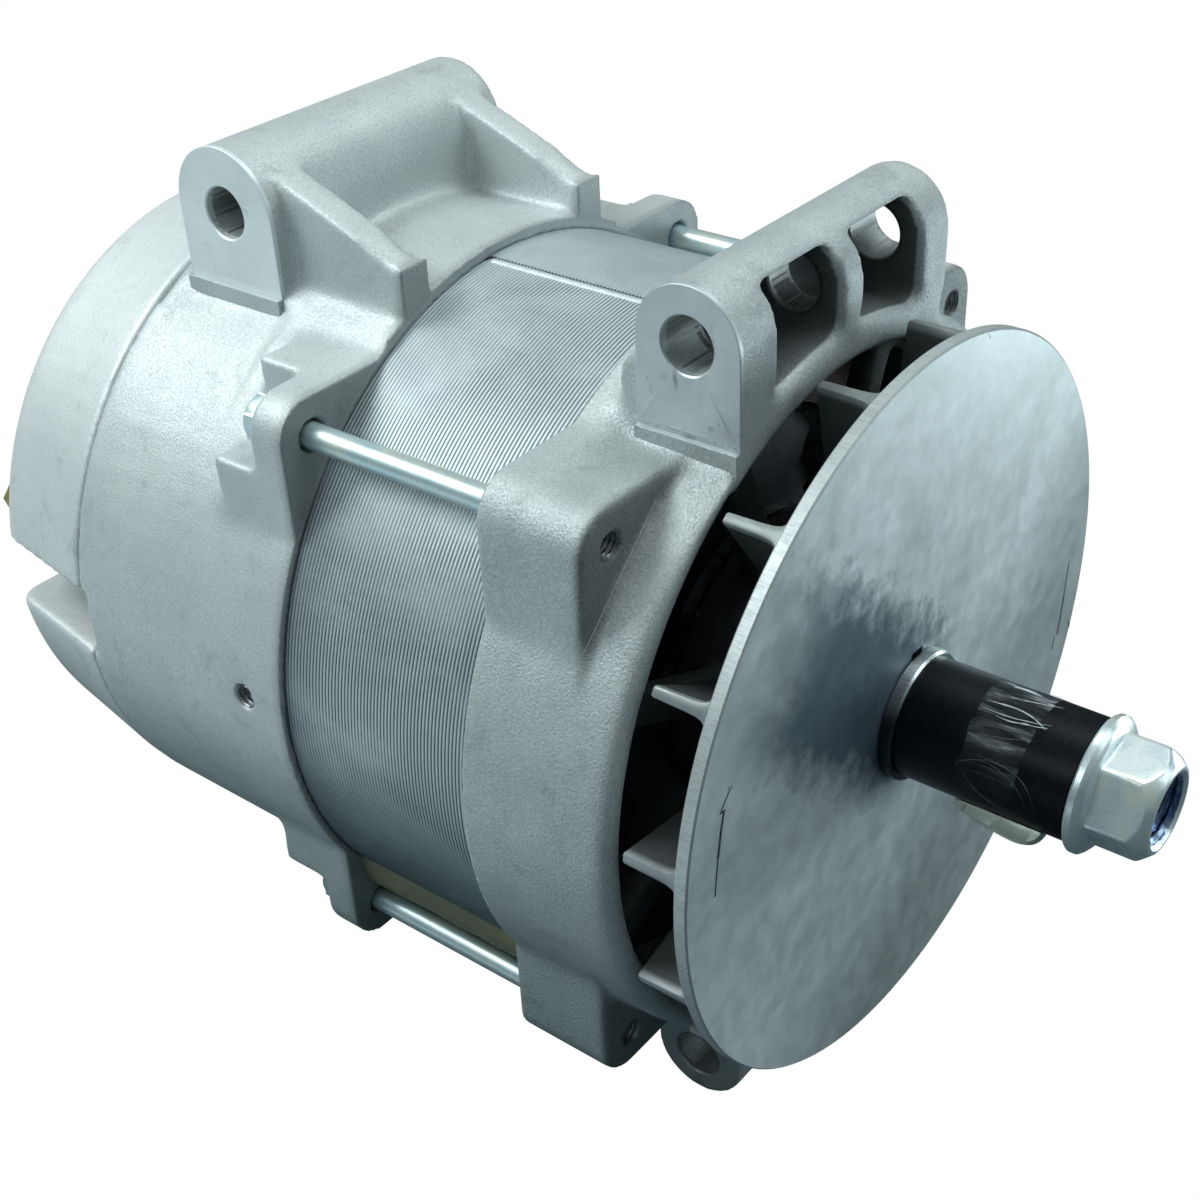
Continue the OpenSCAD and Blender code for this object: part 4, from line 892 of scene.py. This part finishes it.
def scribe(path, width, lift=0.03):
    """A thin line through (x, z) points on a plane that faces -Y, lift in front of y = 0."""
    points, faces = [], []
    for (x0, z0), (x1, z1) in zip(path, path[1:]):
        along = Vector((x1 - x0, z1 - z0)).normalized() * width / 2
        side = Vector((-along.y, along.x))
        start, end = Vector((x0, z0)) - along, Vector((x1, z1)) + along
        k = len(points)
        points += [(c.x, -lift, c.y) for c in (start + side, end + side, end - side, start - side)]
        faces.append((k, k + 1, k + 2, k + 3))
    return add("stroke", mesh_of("stroke", points, faces), smooth=False)


bolt_axes = [(sx * bolt_off, sz * bolt_off) for sx in (-1, 1) for sz in (-1, 1)]
lug_threads = [placed(thread_tube("t", tapped_r, 1.25, 8.6), (x, lug_front_y, z), (0, -1, 0))
               for x, z in bolt_axes]
dress(join("lug_threads", lug_threads), "housing", "drive_end_casting", look=dark_thread)
side_thread = thread_tube("side_thread", tapped_r, 1.25, 11.0)
placed(side_thread, (-91.6, side_hole_y, side_hole_z), (-1, 0, 0))
dress(side_thread, "housing", "rear_casting", look=dark_thread)


def parting_ridge(skin, first, last, steps=60):
    """A thin raised line on a skin, between two points of the photograph."""
    bpy.context.view_layer.update()
    ahead = RIGHT.cross(DOWN)
    across = Vector((last[0] - first[0], last[1] - first[1])).normalized()
    points = []
    for i in range(steps + 1):
        share = i / steps
        half = 0.55 + 0.2 * noise.noise(Vector((share * 9, 2.0, 0)))
        for side in (-half, half):
            u = first[0] + (last[0] - first[0]) * share - side * across.y - CENTRE_PX[0]
            v = first[1] + (last[1] - first[1]) * share + side * across.x - CENTRE_PX[1]
            way = (RIGHT * u / FOCAL_PX + DOWN * v / FOCAL_PX + ahead).normalized()
            place = skin.ray_cast(EYE, way)[1]
            points.append((place - way * 0.10 * MM) / MM)
    return ribbon("parting_ridge", points)


ridge = parting_ridge(front_skin, (656, 500), (583, 655))
dress(ridge, "housing", "drive_end_casting", look=parting_line)

# Stator core

WELD_ANGLE = math.radians(94.85)
BEAD_R = core_r - 0.35


def core_rings():
    """The visible core: one ring per bundle of sheets, with a groove between."""
    proud = core_r + 0.05
    profile = [(core_r - 1.5, SHEETS_FROM)]
    for i in range(SHEET_COUNT):
        y = SHEETS_FROM + i * SHEET_PITCH
        profile.append((proud - SHEET_GROOVE, y))
        profile += [(proud, y + part * SHEET_PITCH) for part in (0.2, 0.8)]
    profile += [(proud - SHEET_GROOVE, SHEETS_TO), (core_r - 1.5, SHEETS_TO)]
    return sharpen(lathe("core_rings", profile, 288, close=False), 50)


dress(core_rings(), "housing", "core_steel")


def seam_ring(name, y0, y1):
    """The dark joint where the core meets a housing."""
    proud = core_r + 0.14
    return facing_out(lathe(name, [(proud - 1, y0), (proud, y0), (proud, y1), (proud - 1, y1)], 256))


joint = seam_ring("core_joints", front_y1 - 0.3, front_y1 + 0.45)
dress(joint, "housing", "core_steel", look=joint_and_shadow_black)


def on_core(angle, across, radius, y):
    """A point at a height over the core, across millimetres round from an angle."""
    return polar(radius, angle + across / core_r, y)


def weld_notch_shadows(angle):
    """Painted shadow: dark quads at the ends of the sheets' notches, one beside each sheet along the weld.
    """
    points, faces = [], []
    for i in range(3, SHEET_COUNT - 1):
        y = SHEETS_FROM + (i + 0.5) * SHEET_PITCH
        k = len(points)
        for across in (-1.75, -1.15):
            for end in (-0.26, 0.26):
                points.append(on_core(angle, across, core_r + 0.10, y + end * SHEET_PITCH / 0.9))
        faces.append((k, k + 1, k + 3, k + 2))
    return add("pits", mesh_of("pits", points, faces), smooth=False)


def notch_end_shadow(angle):
    """Painted shadow: a dark quad at the open end of the weld's notch at the rear housing."""
    y = rear_y0 - 1.6
    points = [on_core(angle, across, core_r + 0.12, y + end) for across, end in
              ((-1.7, 0.2), (-1.5, 2.4), (0.6, 2.8), (0.9, 1.2))]
    return add("notch", mesh_of("notch", points, [(0, 1, 2, 3)]), smooth=False)


# Painted shadows in the weld's notches.
pits = [make(angle) for make in (weld_notch_shadows, notch_end_shadow) for angle in (WELD_ANGLE, WELD_ANGLE + math.pi)]
dress(join("painted_notch_shadows", pits), "housing", "core_steel", look=joint_and_shadow_black)


def weld_bead(angle):
    """A run of small overlapping weld blobs along the core."""
    rings = []
    rows = 260
    for i in range(rows + 1):
        y = front_y1 + 0.5 + (rear_y0 - front_y1 - 2.4) * i / rows
        size = 0.9 + 0.12 * abs(math.sin(math.pi * y / 1.3))
        size += 0.10 * noise.noise(Vector((y * 0.7, 3.1, 0)))
        rings.append([on_core(angle, 0.15 + 0.95 * size * math.sin(turn),
                              BEAD_R + 0.85 * size * math.cos(turn), y) for turn in turns(12)])
    return facing_out(loft("w", rings))


beads = [weld_bead(WELD_ANGLE), weld_bead(WELD_ANGLE + math.pi)]
dress(join("core_welds", beads), "housing", "core_steel", look=weld_metal)


def varnish_run():
    """Cured varnish that fills the space between the core and the lower left through bolt."""
    section = ((214.5, 90.2), (216.5, 92.6), (219.0, 94.7), (223.0, 95.1),
               (229.0, 95.0), (233.0, 93.2), (236.0, 90.2))
    rings = []
    rows = 40
    for i in range(rows + 1):
        y = front_y1 - 0.4 + (rear_y0 - front_y1 + 0.8) * i / rows
        ring = []
        for degrees, radius in section:
            wave = 0.35 * noise.noise(Vector((y * 0.12, degrees * 0.2, 1.7)))
            ring.append(polar(min(radius + wave * (radius > 91), 95.2), math.radians(degrees), y))
        rings.append(ring)
    return facing_out(loft("varnish_run", rings))


dress(varnish_run(), "housing", "core_steel", look=varnish)

# Through bolts

def tie_rod(x, z):
    """A through bolt: a long shank and a hex head, with its edges rounded."""
    y0, y1 = lug_front_y + 9.0, washer_y1 + 1
    shank = lathe("s", [(0.01, y0), (rod_r - 0.5, y0), (rod_r, y0 + 0.6), (rod_r, y1), (0.01, y1)],
                  32, (x, z), close=False)
    head_y1 = high("through_bolts").y
    across_flats = 11.0
    uncut = across_flats  # Wider than the corners, so the hexagon stays whole
    rings = []
    for y, radius in ((washer_y1, 5.3), (washer_y1 + 0.3, 5.5), (washer_y1 + 0.31, uncut),
                      (head_y1 - 1.2, uncut), (head_y1 - 0.3, 5.3), (head_y1, 4.6)):
        ring = []
        for turn in turns(48):
            hexagon = across_flats / 2 / math.cos(math.remainder(turn, math.pi / 3))
            ring.append(polar(min(radius, hexagon), turn, y, centre=(x, z)))
        rings.append(ring)
    head = loft("h", rings)
    return [facing_out(shank), facing_out(head)]


rods = [piece for x, z in bolt_axes for piece in tie_rod(x, z)]
dress(join("tie_rods", rods), "housing", "zinc_bolt", "through_bolts")

# Fan

BLADES = 15
BLADE_TURN = math.radians(101.8)
DISC = 3.4


def fan_disc():
    """The fan's disc and hub, with the keyway cut through the bore."""
    edge = 0.35
    bore = sleeve_r - 3.75
    rim = fan_r - 0.12
    hub = 19.0
    profile = [(bore, 0.0), (rim - edge, 0.0), (rim, edge), (rim, DISC - edge), (rim - edge, DISC),
               (hub + 2.0, DISC), (hub + 0.4, DISC + 0.6), (hub, DISC + 2.0), (hub, fan_back_y - 0.6),
               (hub - 0.6, fan_back_y), (bore, fan_back_y)]
    disc = facing_out(lathe("fan_disc", profile, 192))
    keyway = ((-2.5, 7.8), (2.5, 7.8), (2.5, 17.8), (-2.5, 17.8))
    cutter = facing_out(loft("keyway", [[(x, y, z) for x, z in keyway] for y in (-3.0, 21.0)]))
    cut = disc.modifiers.new("keyway", "BOOLEAN")
    cut.operation = "DIFFERENCE"
    cut.object = cutter
    baked(disc)
    bpy.data.objects.remove(cutter)
    return sharpen(disc)


def fan_blade(turn):
    """One straight blade with drafted sides and a fillet where it meets the disc."""
    half = [(4.3, DISC - 0.1), (3.0, DISC + 0.45), (2.15, DISC + 1.4), (1.75, DISC + 2.8),
            (1.55, DISC + 5.0), (1.32, fan_back_y - 0.5), (0.95, fan_back_y)]
    outline = half + [(-t, y) for t, y in reversed(half)]
    rings = []
    for r, width, drop in ((17.5, 1.0, 0.0), (30, 1.0, 0.0), (60, 1.0, 0.0), (88.5, 1.0, 0.0),
                           (90.0, 1.02, 0.0), (90.7, 0.86, 0.35), (90.95, 0.6, 0.9)):
        ring = []
        for t, y in outline:
            y = DISC - 0.1 + (y - DISC + 0.1) * (1 - drop / fan_back_y)
            ring.append(polar(r, turn, y, t * width))
        rings.append(ring)
    return facing_out(loft("blade", rings))


def fan_painted_shade(place):
    """Painted shade: dark behind the disc, and a little less so on the blades' ends."""
    if place.y <= DISC + 0.3:
        return 0.0
    return 0.93 if math.hypot(place.x, place.z) < 89.6 else 0.66


blades = [fan_blade(BLADE_TURN + turn) for turn in turns(BLADES)]
fan_piece = with_painted_shade(join("fan_wheel", [fan_disc()] + blades), fan_painted_shade)
dress(fan_piece, "rotor", "fan_aluminium", "fan")


def rim_band():
    """The lathe-turned edge of the disc, a little proud of it."""
    edge, inner = fan_r - 0.4, fan_r - 1.2
    profile = [(edge, -0.02), (fan_r, 0.4), (fan_r, DISC - 0.4), (edge, DISC + 0.02),
               (inner, DISC - 0.5), (inner, 0.5)]
    return facing_out(lathe("fan_rim", profile, 256))


dress(rim_band(), "rotor", "fan_aluminium", look=turned_rim)

washer_bore = sleeve_r + 0.03
washer_r = min(high("seat_washer").x, sleeve_r + 1.7)
washer_front = -3.3
washer_profile = [(washer_bore, washer_front), (washer_r - 0.7, washer_front), (washer_r - 0.1, -2.8),
                  (washer_r, -0.3), (washer_r - 0.3, 0.0), (washer_bore, 0.0)]


def washer_painted_shade(place):
    """Painted shade round the washer's left and lower side."""
    turn = math.degrees(math.atan2(place.z, place.x)) % 360
    return min(max((turn - 128) / 30, 0.0), 0.93) if turn < 300 else 0.0


washer = with_painted_shade(facing_out(lathe("bright_washer", washer_profile, 128)), washer_painted_shade)
dress(washer, "rotor", "washer_bright", "seat_washer")

# Two stamped marks that show the way to turn, each a fading line with a short stroke at its end
marks = [
    scribe([(82.6, -0.6), (82.3, -6.0), (81.9, -12.0)], 0.55),
    scribe([(81.9, -12.0), (81.4, -17.6), (80.7, -22.4)], 0.85),
    scribe([(78.9, -22.8), (78.5, -26.3)], 0.6),
    scribe([(87.9, -22.8), (88.1, -24.2)], 0.9),
    scribe([(-78.4, 22.4), (-79.5, 17.4), (-80.4, 12.0)], 0.8),
    scribe([(-80.4, 12.0), (-81.1, 7.0), (-81.6, 2.0)], 0.5),
    scribe([(-79.2, 23.4), (-76.2, 26.8)], 0.55),
    scribe([(-79.6, 22.9), (-78.0, 22.6)], 0.5),
]
dress(join("stamped_marks", marks), "rotor", "fan_aluminium", look=scribe_line)
# Short pale strokes of turned metal: the one at the end of the left mark is a painted glint.
glints_and_nicks = [
    scribe([(-76.6, 27.6), (-75.6, 26.9)], 0.7, 0.05),
    scribe([(22.4, 88.4), (23.6, 87.0)], 0.5),
]
dress(join("glint_and_nick_strokes", glints_and_nicks), "rotor", "fan_aluminium", look=turned_rim)

# Shaft end

NUT_CORNER = math.radians(126.8)


def hex_nut():
    """Flange nut: a domed flange, a hexagon with a deep rounding in front and a chamfered mouth."""
    flange_y = nut_y1 - 3.5
    apothem = 12.0
    corner = apothem * 2 / math.sqrt(3)
    rounding, front_r = 4.4, 10.6
    steps = [(nut_y1, flange_r - 0.4, "round"), (nut_y1 - 0.5, flange_r, "round"),
             (nut_y1 - 1.8, flange_r, "round"), (nut_y1 - 2.6, flange_r - 0.7, "round"),
             (flange_y, corner + 0.9, "round"),
             (flange_y - 0.5, corner, "hex"), (nut_y0 + rounding, corner, "hex")]
    for k in range(1, 9):
        share = k / 8
        y = nut_y0 + rounding - (rounding - 0.3) * share
        steps.append((y, corner - (corner - front_r) * share ** 1.25, "both"))
    steps += [(nut_y0, 10.0, "round"), (nut_y0, 9.5, "round"), (nut_y0 + 1.3, 8.15, "round")]
    rings = []
    for y, radius, kind in steps:
        ring = []
        for turn in turns(144):
            sector = math.remainder(turn - math.pi / 6, math.pi / 3)
            hexagon = min(apothem / math.cos(sector), corner - 0.12)
            r = {"round": radius, "hex": hexagon, "both": min(radius, hexagon)}[kind]
            ring.append(polar(r, NUT_CORNER + turn, y))
        rings.append(ring)
    return facing_out(loft("nut_body", rings, ends="none"))


dress(hex_nut(), "rotor", "nut_zinc", "shaft_nut")
# The nut's bore carries a painted blue reflection.
nut_bore = placed(thread_tube("nut_bore", 8.0, 2.0, 5.2, 0.9, 64), (0, nut_y0 + 0.6, 0), (0, -1, 0))
dress(nut_bore, "rotor", "nut_zinc", look=thread_painted_blue_reflection)

sleeve_bore = 11.2
sleeve_profile = [(sleeve_bore, sleeve_y0), (sleeve_r - 0.7, sleeve_y0), (sleeve_r, sleeve_y0 + 0.7),
                  (sleeve_r, sleeve_y1 - 0.4), (sleeve_r - 0.4, sleeve_y1), (sleeve_bore, sleeve_y1)]
sleeve = facing_out(lathe("sleeve", sleeve_profile, 128))
dress(sleeve, "rotor", "sleeve_black", "shaft_sleeve")

film_y0 = tape_y0 - 3.0
film_y1 = tape_y1 - 6.5


def tape_wrap():
    """The film round the sleeve and the key: loose folds, and a lump over the key."""
    rows = 60
    key_lump, lump_turn = 4.6, 0.30
    rings = []
    for i in range(rows + 1):
        share = i / rows
        y = film_y0 + (film_y1 - film_y0) * share
        ring = []
        for turn in turns(240):
            swell = math.remainder(turn - key_angle, 2 * math.pi)
            lump = key_lump * math.exp(-(swell / lump_turn) ** 4)
            lump *= min(1.0, 1.25 * (1.02 - share) ** 0.5)
            point = Vector((math.cos(turn) * 3.2, y * 0.06, math.sin(turn) * 3.2))
            fold = max(0.0, 1.0 - 5.0 * abs(noise.noise(point))) ** 2
            r = sleeve_r + 0.10 + lump + 0.35 * fold
            wave = noise.noise(Vector((math.cos(turn) * 2.2, math.sin(turn) * 2.2, 0.5 * share)))
            ring.append(polar(r, turn, y + wave))
        rings.append(ring)
    return loft("tape_wrap", rings, ends="none")


dress(tape_wrap(), "rotor", "tape_film", "key_tape")


def crease(start, y, heading, bend, length, width, seed):
    """A thin crease of the film, a ribbon that carries a painted highlight. heading 0 runs along the shaft
    and 90 round it, in degrees.
    """
    turn, way = math.radians(start), math.radians(heading)
    radius = sleeve_r + 0.62
    steps = 24
    step = length / steps
    points = []
    for i in range(steps + 1):
        thin = width * math.sin(math.pi * (0.08 + 0.84 * i / steps))
        thin *= 0.7 + 0.6 * noise.noise(Vector((seed, i * 0.35, 0)))
        for side in (-0.5 * thin, 0.5 * thin):
            points.append(polar(radius, turn + side * math.cos(way) / radius, y - side * math.sin(way)))
        y -= step * math.cos(way)
        turn -= step * math.sin(way) / radius
        way += math.radians(bend / steps + 6 * noise.noise(Vector((seed, i * 0.3, 5.0))))
    return ribbon("crease", points)


# Painted highlights along the creases: bright ones on top, faint ones on the side.
bright_crease_highlights = [crease(107, -20.6, 7, 0, 16, 0.50, 1.3), crease(115, -20.8, 1, 4, 16, 0.30, 2.1),
                  crease(80, -23.5, 30, -25, 7, 1.10, 3.7), crease(118, -24.5, -6, 8, 12, 0.40, 4.4),
                  crease(95, -25.0, 10, 10, 12, 0.35, 11.2)]
faint_crease_highlights = [crease(169, -19.3, 45, -130, 25, 0.26, 5.5), crease(173, -21.5, -61, 85, 18, 0.22, 6.2),
                 crease(164, -20.5, 30, -110, 21, 0.20, 7.9), crease(138, -22.0, 8, 25, 13, 0.22, 8.8),
                 crease(178, -23.0, -50, 60, 15, 0.20, 9.1), crease(131, -21.0, 15, -20, 14, 0.20, 10.6)]
dress(join("film_crease_highlights", bright_crease_highlights), "rotor", "tape_film", look=crease_highlight_white)
dress(join("film_wrinkle_highlights", faint_crease_highlights), "rotor", "tape_film", look=crease_highlight_grey)


def loose_key():
    """The half moon key that is taped to the sleeve, its low end toward the fan."""
    y0, y1 = low("taped_key").y, high("taped_key").y
    half, tall, peak = 2.35, 4.3, 0.22
    rings = []
    steps = 26
    for i in range(steps + 1):
        near = 0.5 * (1 - math.cos(math.pi * i / steps))
        if near < peak:
            rise = tall * math.sqrt(max(0.0, 1 - (1 - near / peak) ** 2))
        else:
            rise = tall * (1 - 0.62 * ((near - peak) / (1 - peak)) ** 1.7)
        rise = max(rise, 0.15)
        flank = [(half, 0.0), (half, rise * 0.82), (half * 0.82, rise)]
        section = [(-side, up) for side, up in flank] + flank[::-1]
        rings.append([polar(sleeve_r + 0.08 + up, key_angle, y0 + (y1 - y0) * near, side)
                      for side, up in section])
    return facing_out(loft("loose_key", rings))


dress(loose_key(), "rotor", "key_steel", "taped_key")

# Brush springs, copied with meshes of their own; the real ones shorten as a brush is pushed back into its
# holder

for end in ("front", "rear"):
    node = "brush_spring_" + end
    coil = add("coil_spring_" + end, frame["nodes"][node].data.copy())
    dress(coil, "housing", "spring_steel", node)
    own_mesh(coil)

for node in ("rear_cover_bolts", "ground_nut", "output_nut"):
    edge_round = frame["nodes"][node].modifiers.new("edge_round", "BEVEL")
    edge_round.width = 0.35 * MM
    edge_round.segments = 2
    edge_round.limit_method = "ANGLE"

# Light, floor and camera

def photo_camera():
    """The camera that was fitted to the photograph."""
    data = bpy.data.cameras.new("camera")
    data.sensor_width = SENSOR
    data.lens = FOCAL_PX / PHOTO_SIDE * SENSOR
    data.shift_x = (PHOTO_SIDE / 2 - CENTRE_PX[0]) / PHOTO_SIDE
    data.shift_y = (CENTRE_PX[1] - PHOTO_SIDE / 2) / PHOTO_SIDE
    data.clip_start = 0.01
    camera = bpy.data.objects.new("camera", data)
    back = RIGHT.cross(-DOWN)
    turn = Matrix((RIGHT, -DOWN, back)).transposed().to_4x4()
    camera.matrix_world = Matrix.Translation(EYE) @ turn
    bpy.context.scene.collection.objects.link(camera)
    bpy.context.scene.camera = camera


def soft_light(name, place, size, power, colour=(1, 1, 1), aim=(0, 90, 0)):
    """A large square light that looks at a point, in millimetres."""
    data = bpy.data.lights.new(name, "AREA")
    data.shape = "SQUARE"
    data.size = size * MM
    data.energy = power
    data.color = colour
    lamp = bpy.data.objects.new(name, data)
    lamp.location = Vector(place) * MM
    way = (Vector(aim) - Vector(place)).normalized()
    lamp.rotation_euler = way.to_track_quat("-Z", "Y").to_euler()
    bpy.context.scene.collection.objects.link(lamp)


def shown_to_camera(tree, real, shown, output):
    """Gives the camera one shader to see, and all other light the real one."""
    path = added(tree, "LightPath", {})
    mix = added(tree, "MixShader", {"Fac": path.outputs["Is Camera Ray"], 1: real, 2: shown})
    feed(tree.nodes[output].inputs["Surface"], mix.outputs["Shader"])


def studio():
    """Pale world and floor that the camera sees as white, and five soft lights."""
    world = bpy.data.worlds.new("studio")
    world.use_nodes = True
    tree = world.node_tree
    dim = tree.nodes["Background"]
    coords = added(tree, "TexCoord", {}).outputs["Generated"]
    up = added(tree, "SeparateXYZ", {"Vector": coords}).outputs["Z"]
    sky = ramp(sum_of(sum_of(up, 0.5, "MULTIPLY"), 0.5), (0.40, (0.015, 0.03, 0.035)),
               (0.52, (0.15, 0.22, 0.245)), (0.66, (0.52, 0.65, 0.67)), (0.85, (0.95, 1.0, 1.0)))
    feed(dim.inputs["Color"], sky)
    dim.inputs["Strength"].default_value = 0.30
    white = added(tree, "Background", {"Color": (1, 1, 1)})
    shown_to_camera(tree, dim.outputs["Background"], white.outputs["Background"], "World Output")
    bpy.context.scene.world = world

    side = 3000
    floor_z = cad_bounds[0][2] / MM - 0.3
    floor = ribbon("floor", [(x, y, floor_z) for y in (-side, side) for x in (-side, side)])
    material, place = new_material("floor")
    across = added(material.node_tree, "SeparateXYZ", {"Vector": place}).outputs
    # Painted pool of light on the floor, for rays other than the camera's: pale towards the left and back,
    # dark towards the right and front.
    slope = sum_of(sum_of(across["Y"], across["X"], "SUBTRACT"), cloud(place, 300, 3, 0.5))
    pale = ramp(slope, (0.85, (0.06, 0.09, 0.105)), (1.3, (0.58, 0.66, 0.69)))
    filled(material, {"Base Color": pale, "Roughness": 0.9})
    tree = material.node_tree
    glow = added(tree, "Emission", {})
    shown_to_camera(tree, tree.nodes["Principled BSDF"].outputs["BSDF"], glow.outputs["Emission"],
                    "Material Output")
    floor.data.materials.append(material)

    soft_light("key", (-330, 560, 640), 360, 4.7, (0.93, 1.0, 1.0))
    soft_light("top", (260, -60, 800), 500, 3.2, (0.92, 1.0, 1.0))
    soft_light("front", (500, -800, 420), 420, 1.15, (0.84, 0.97, 1.0))
    soft_light("left", (-700, 320, 600), 320, 1.1, (0.86, 0.97, 1.0))
    soft_light("card", (400, -260, -95), 300, 1.55, (0.84, 0.97, 1.0), (0, 0, 50))
    bpy.context.scene.view_settings.view_transform = "Standard"


photo_camera()
studio()
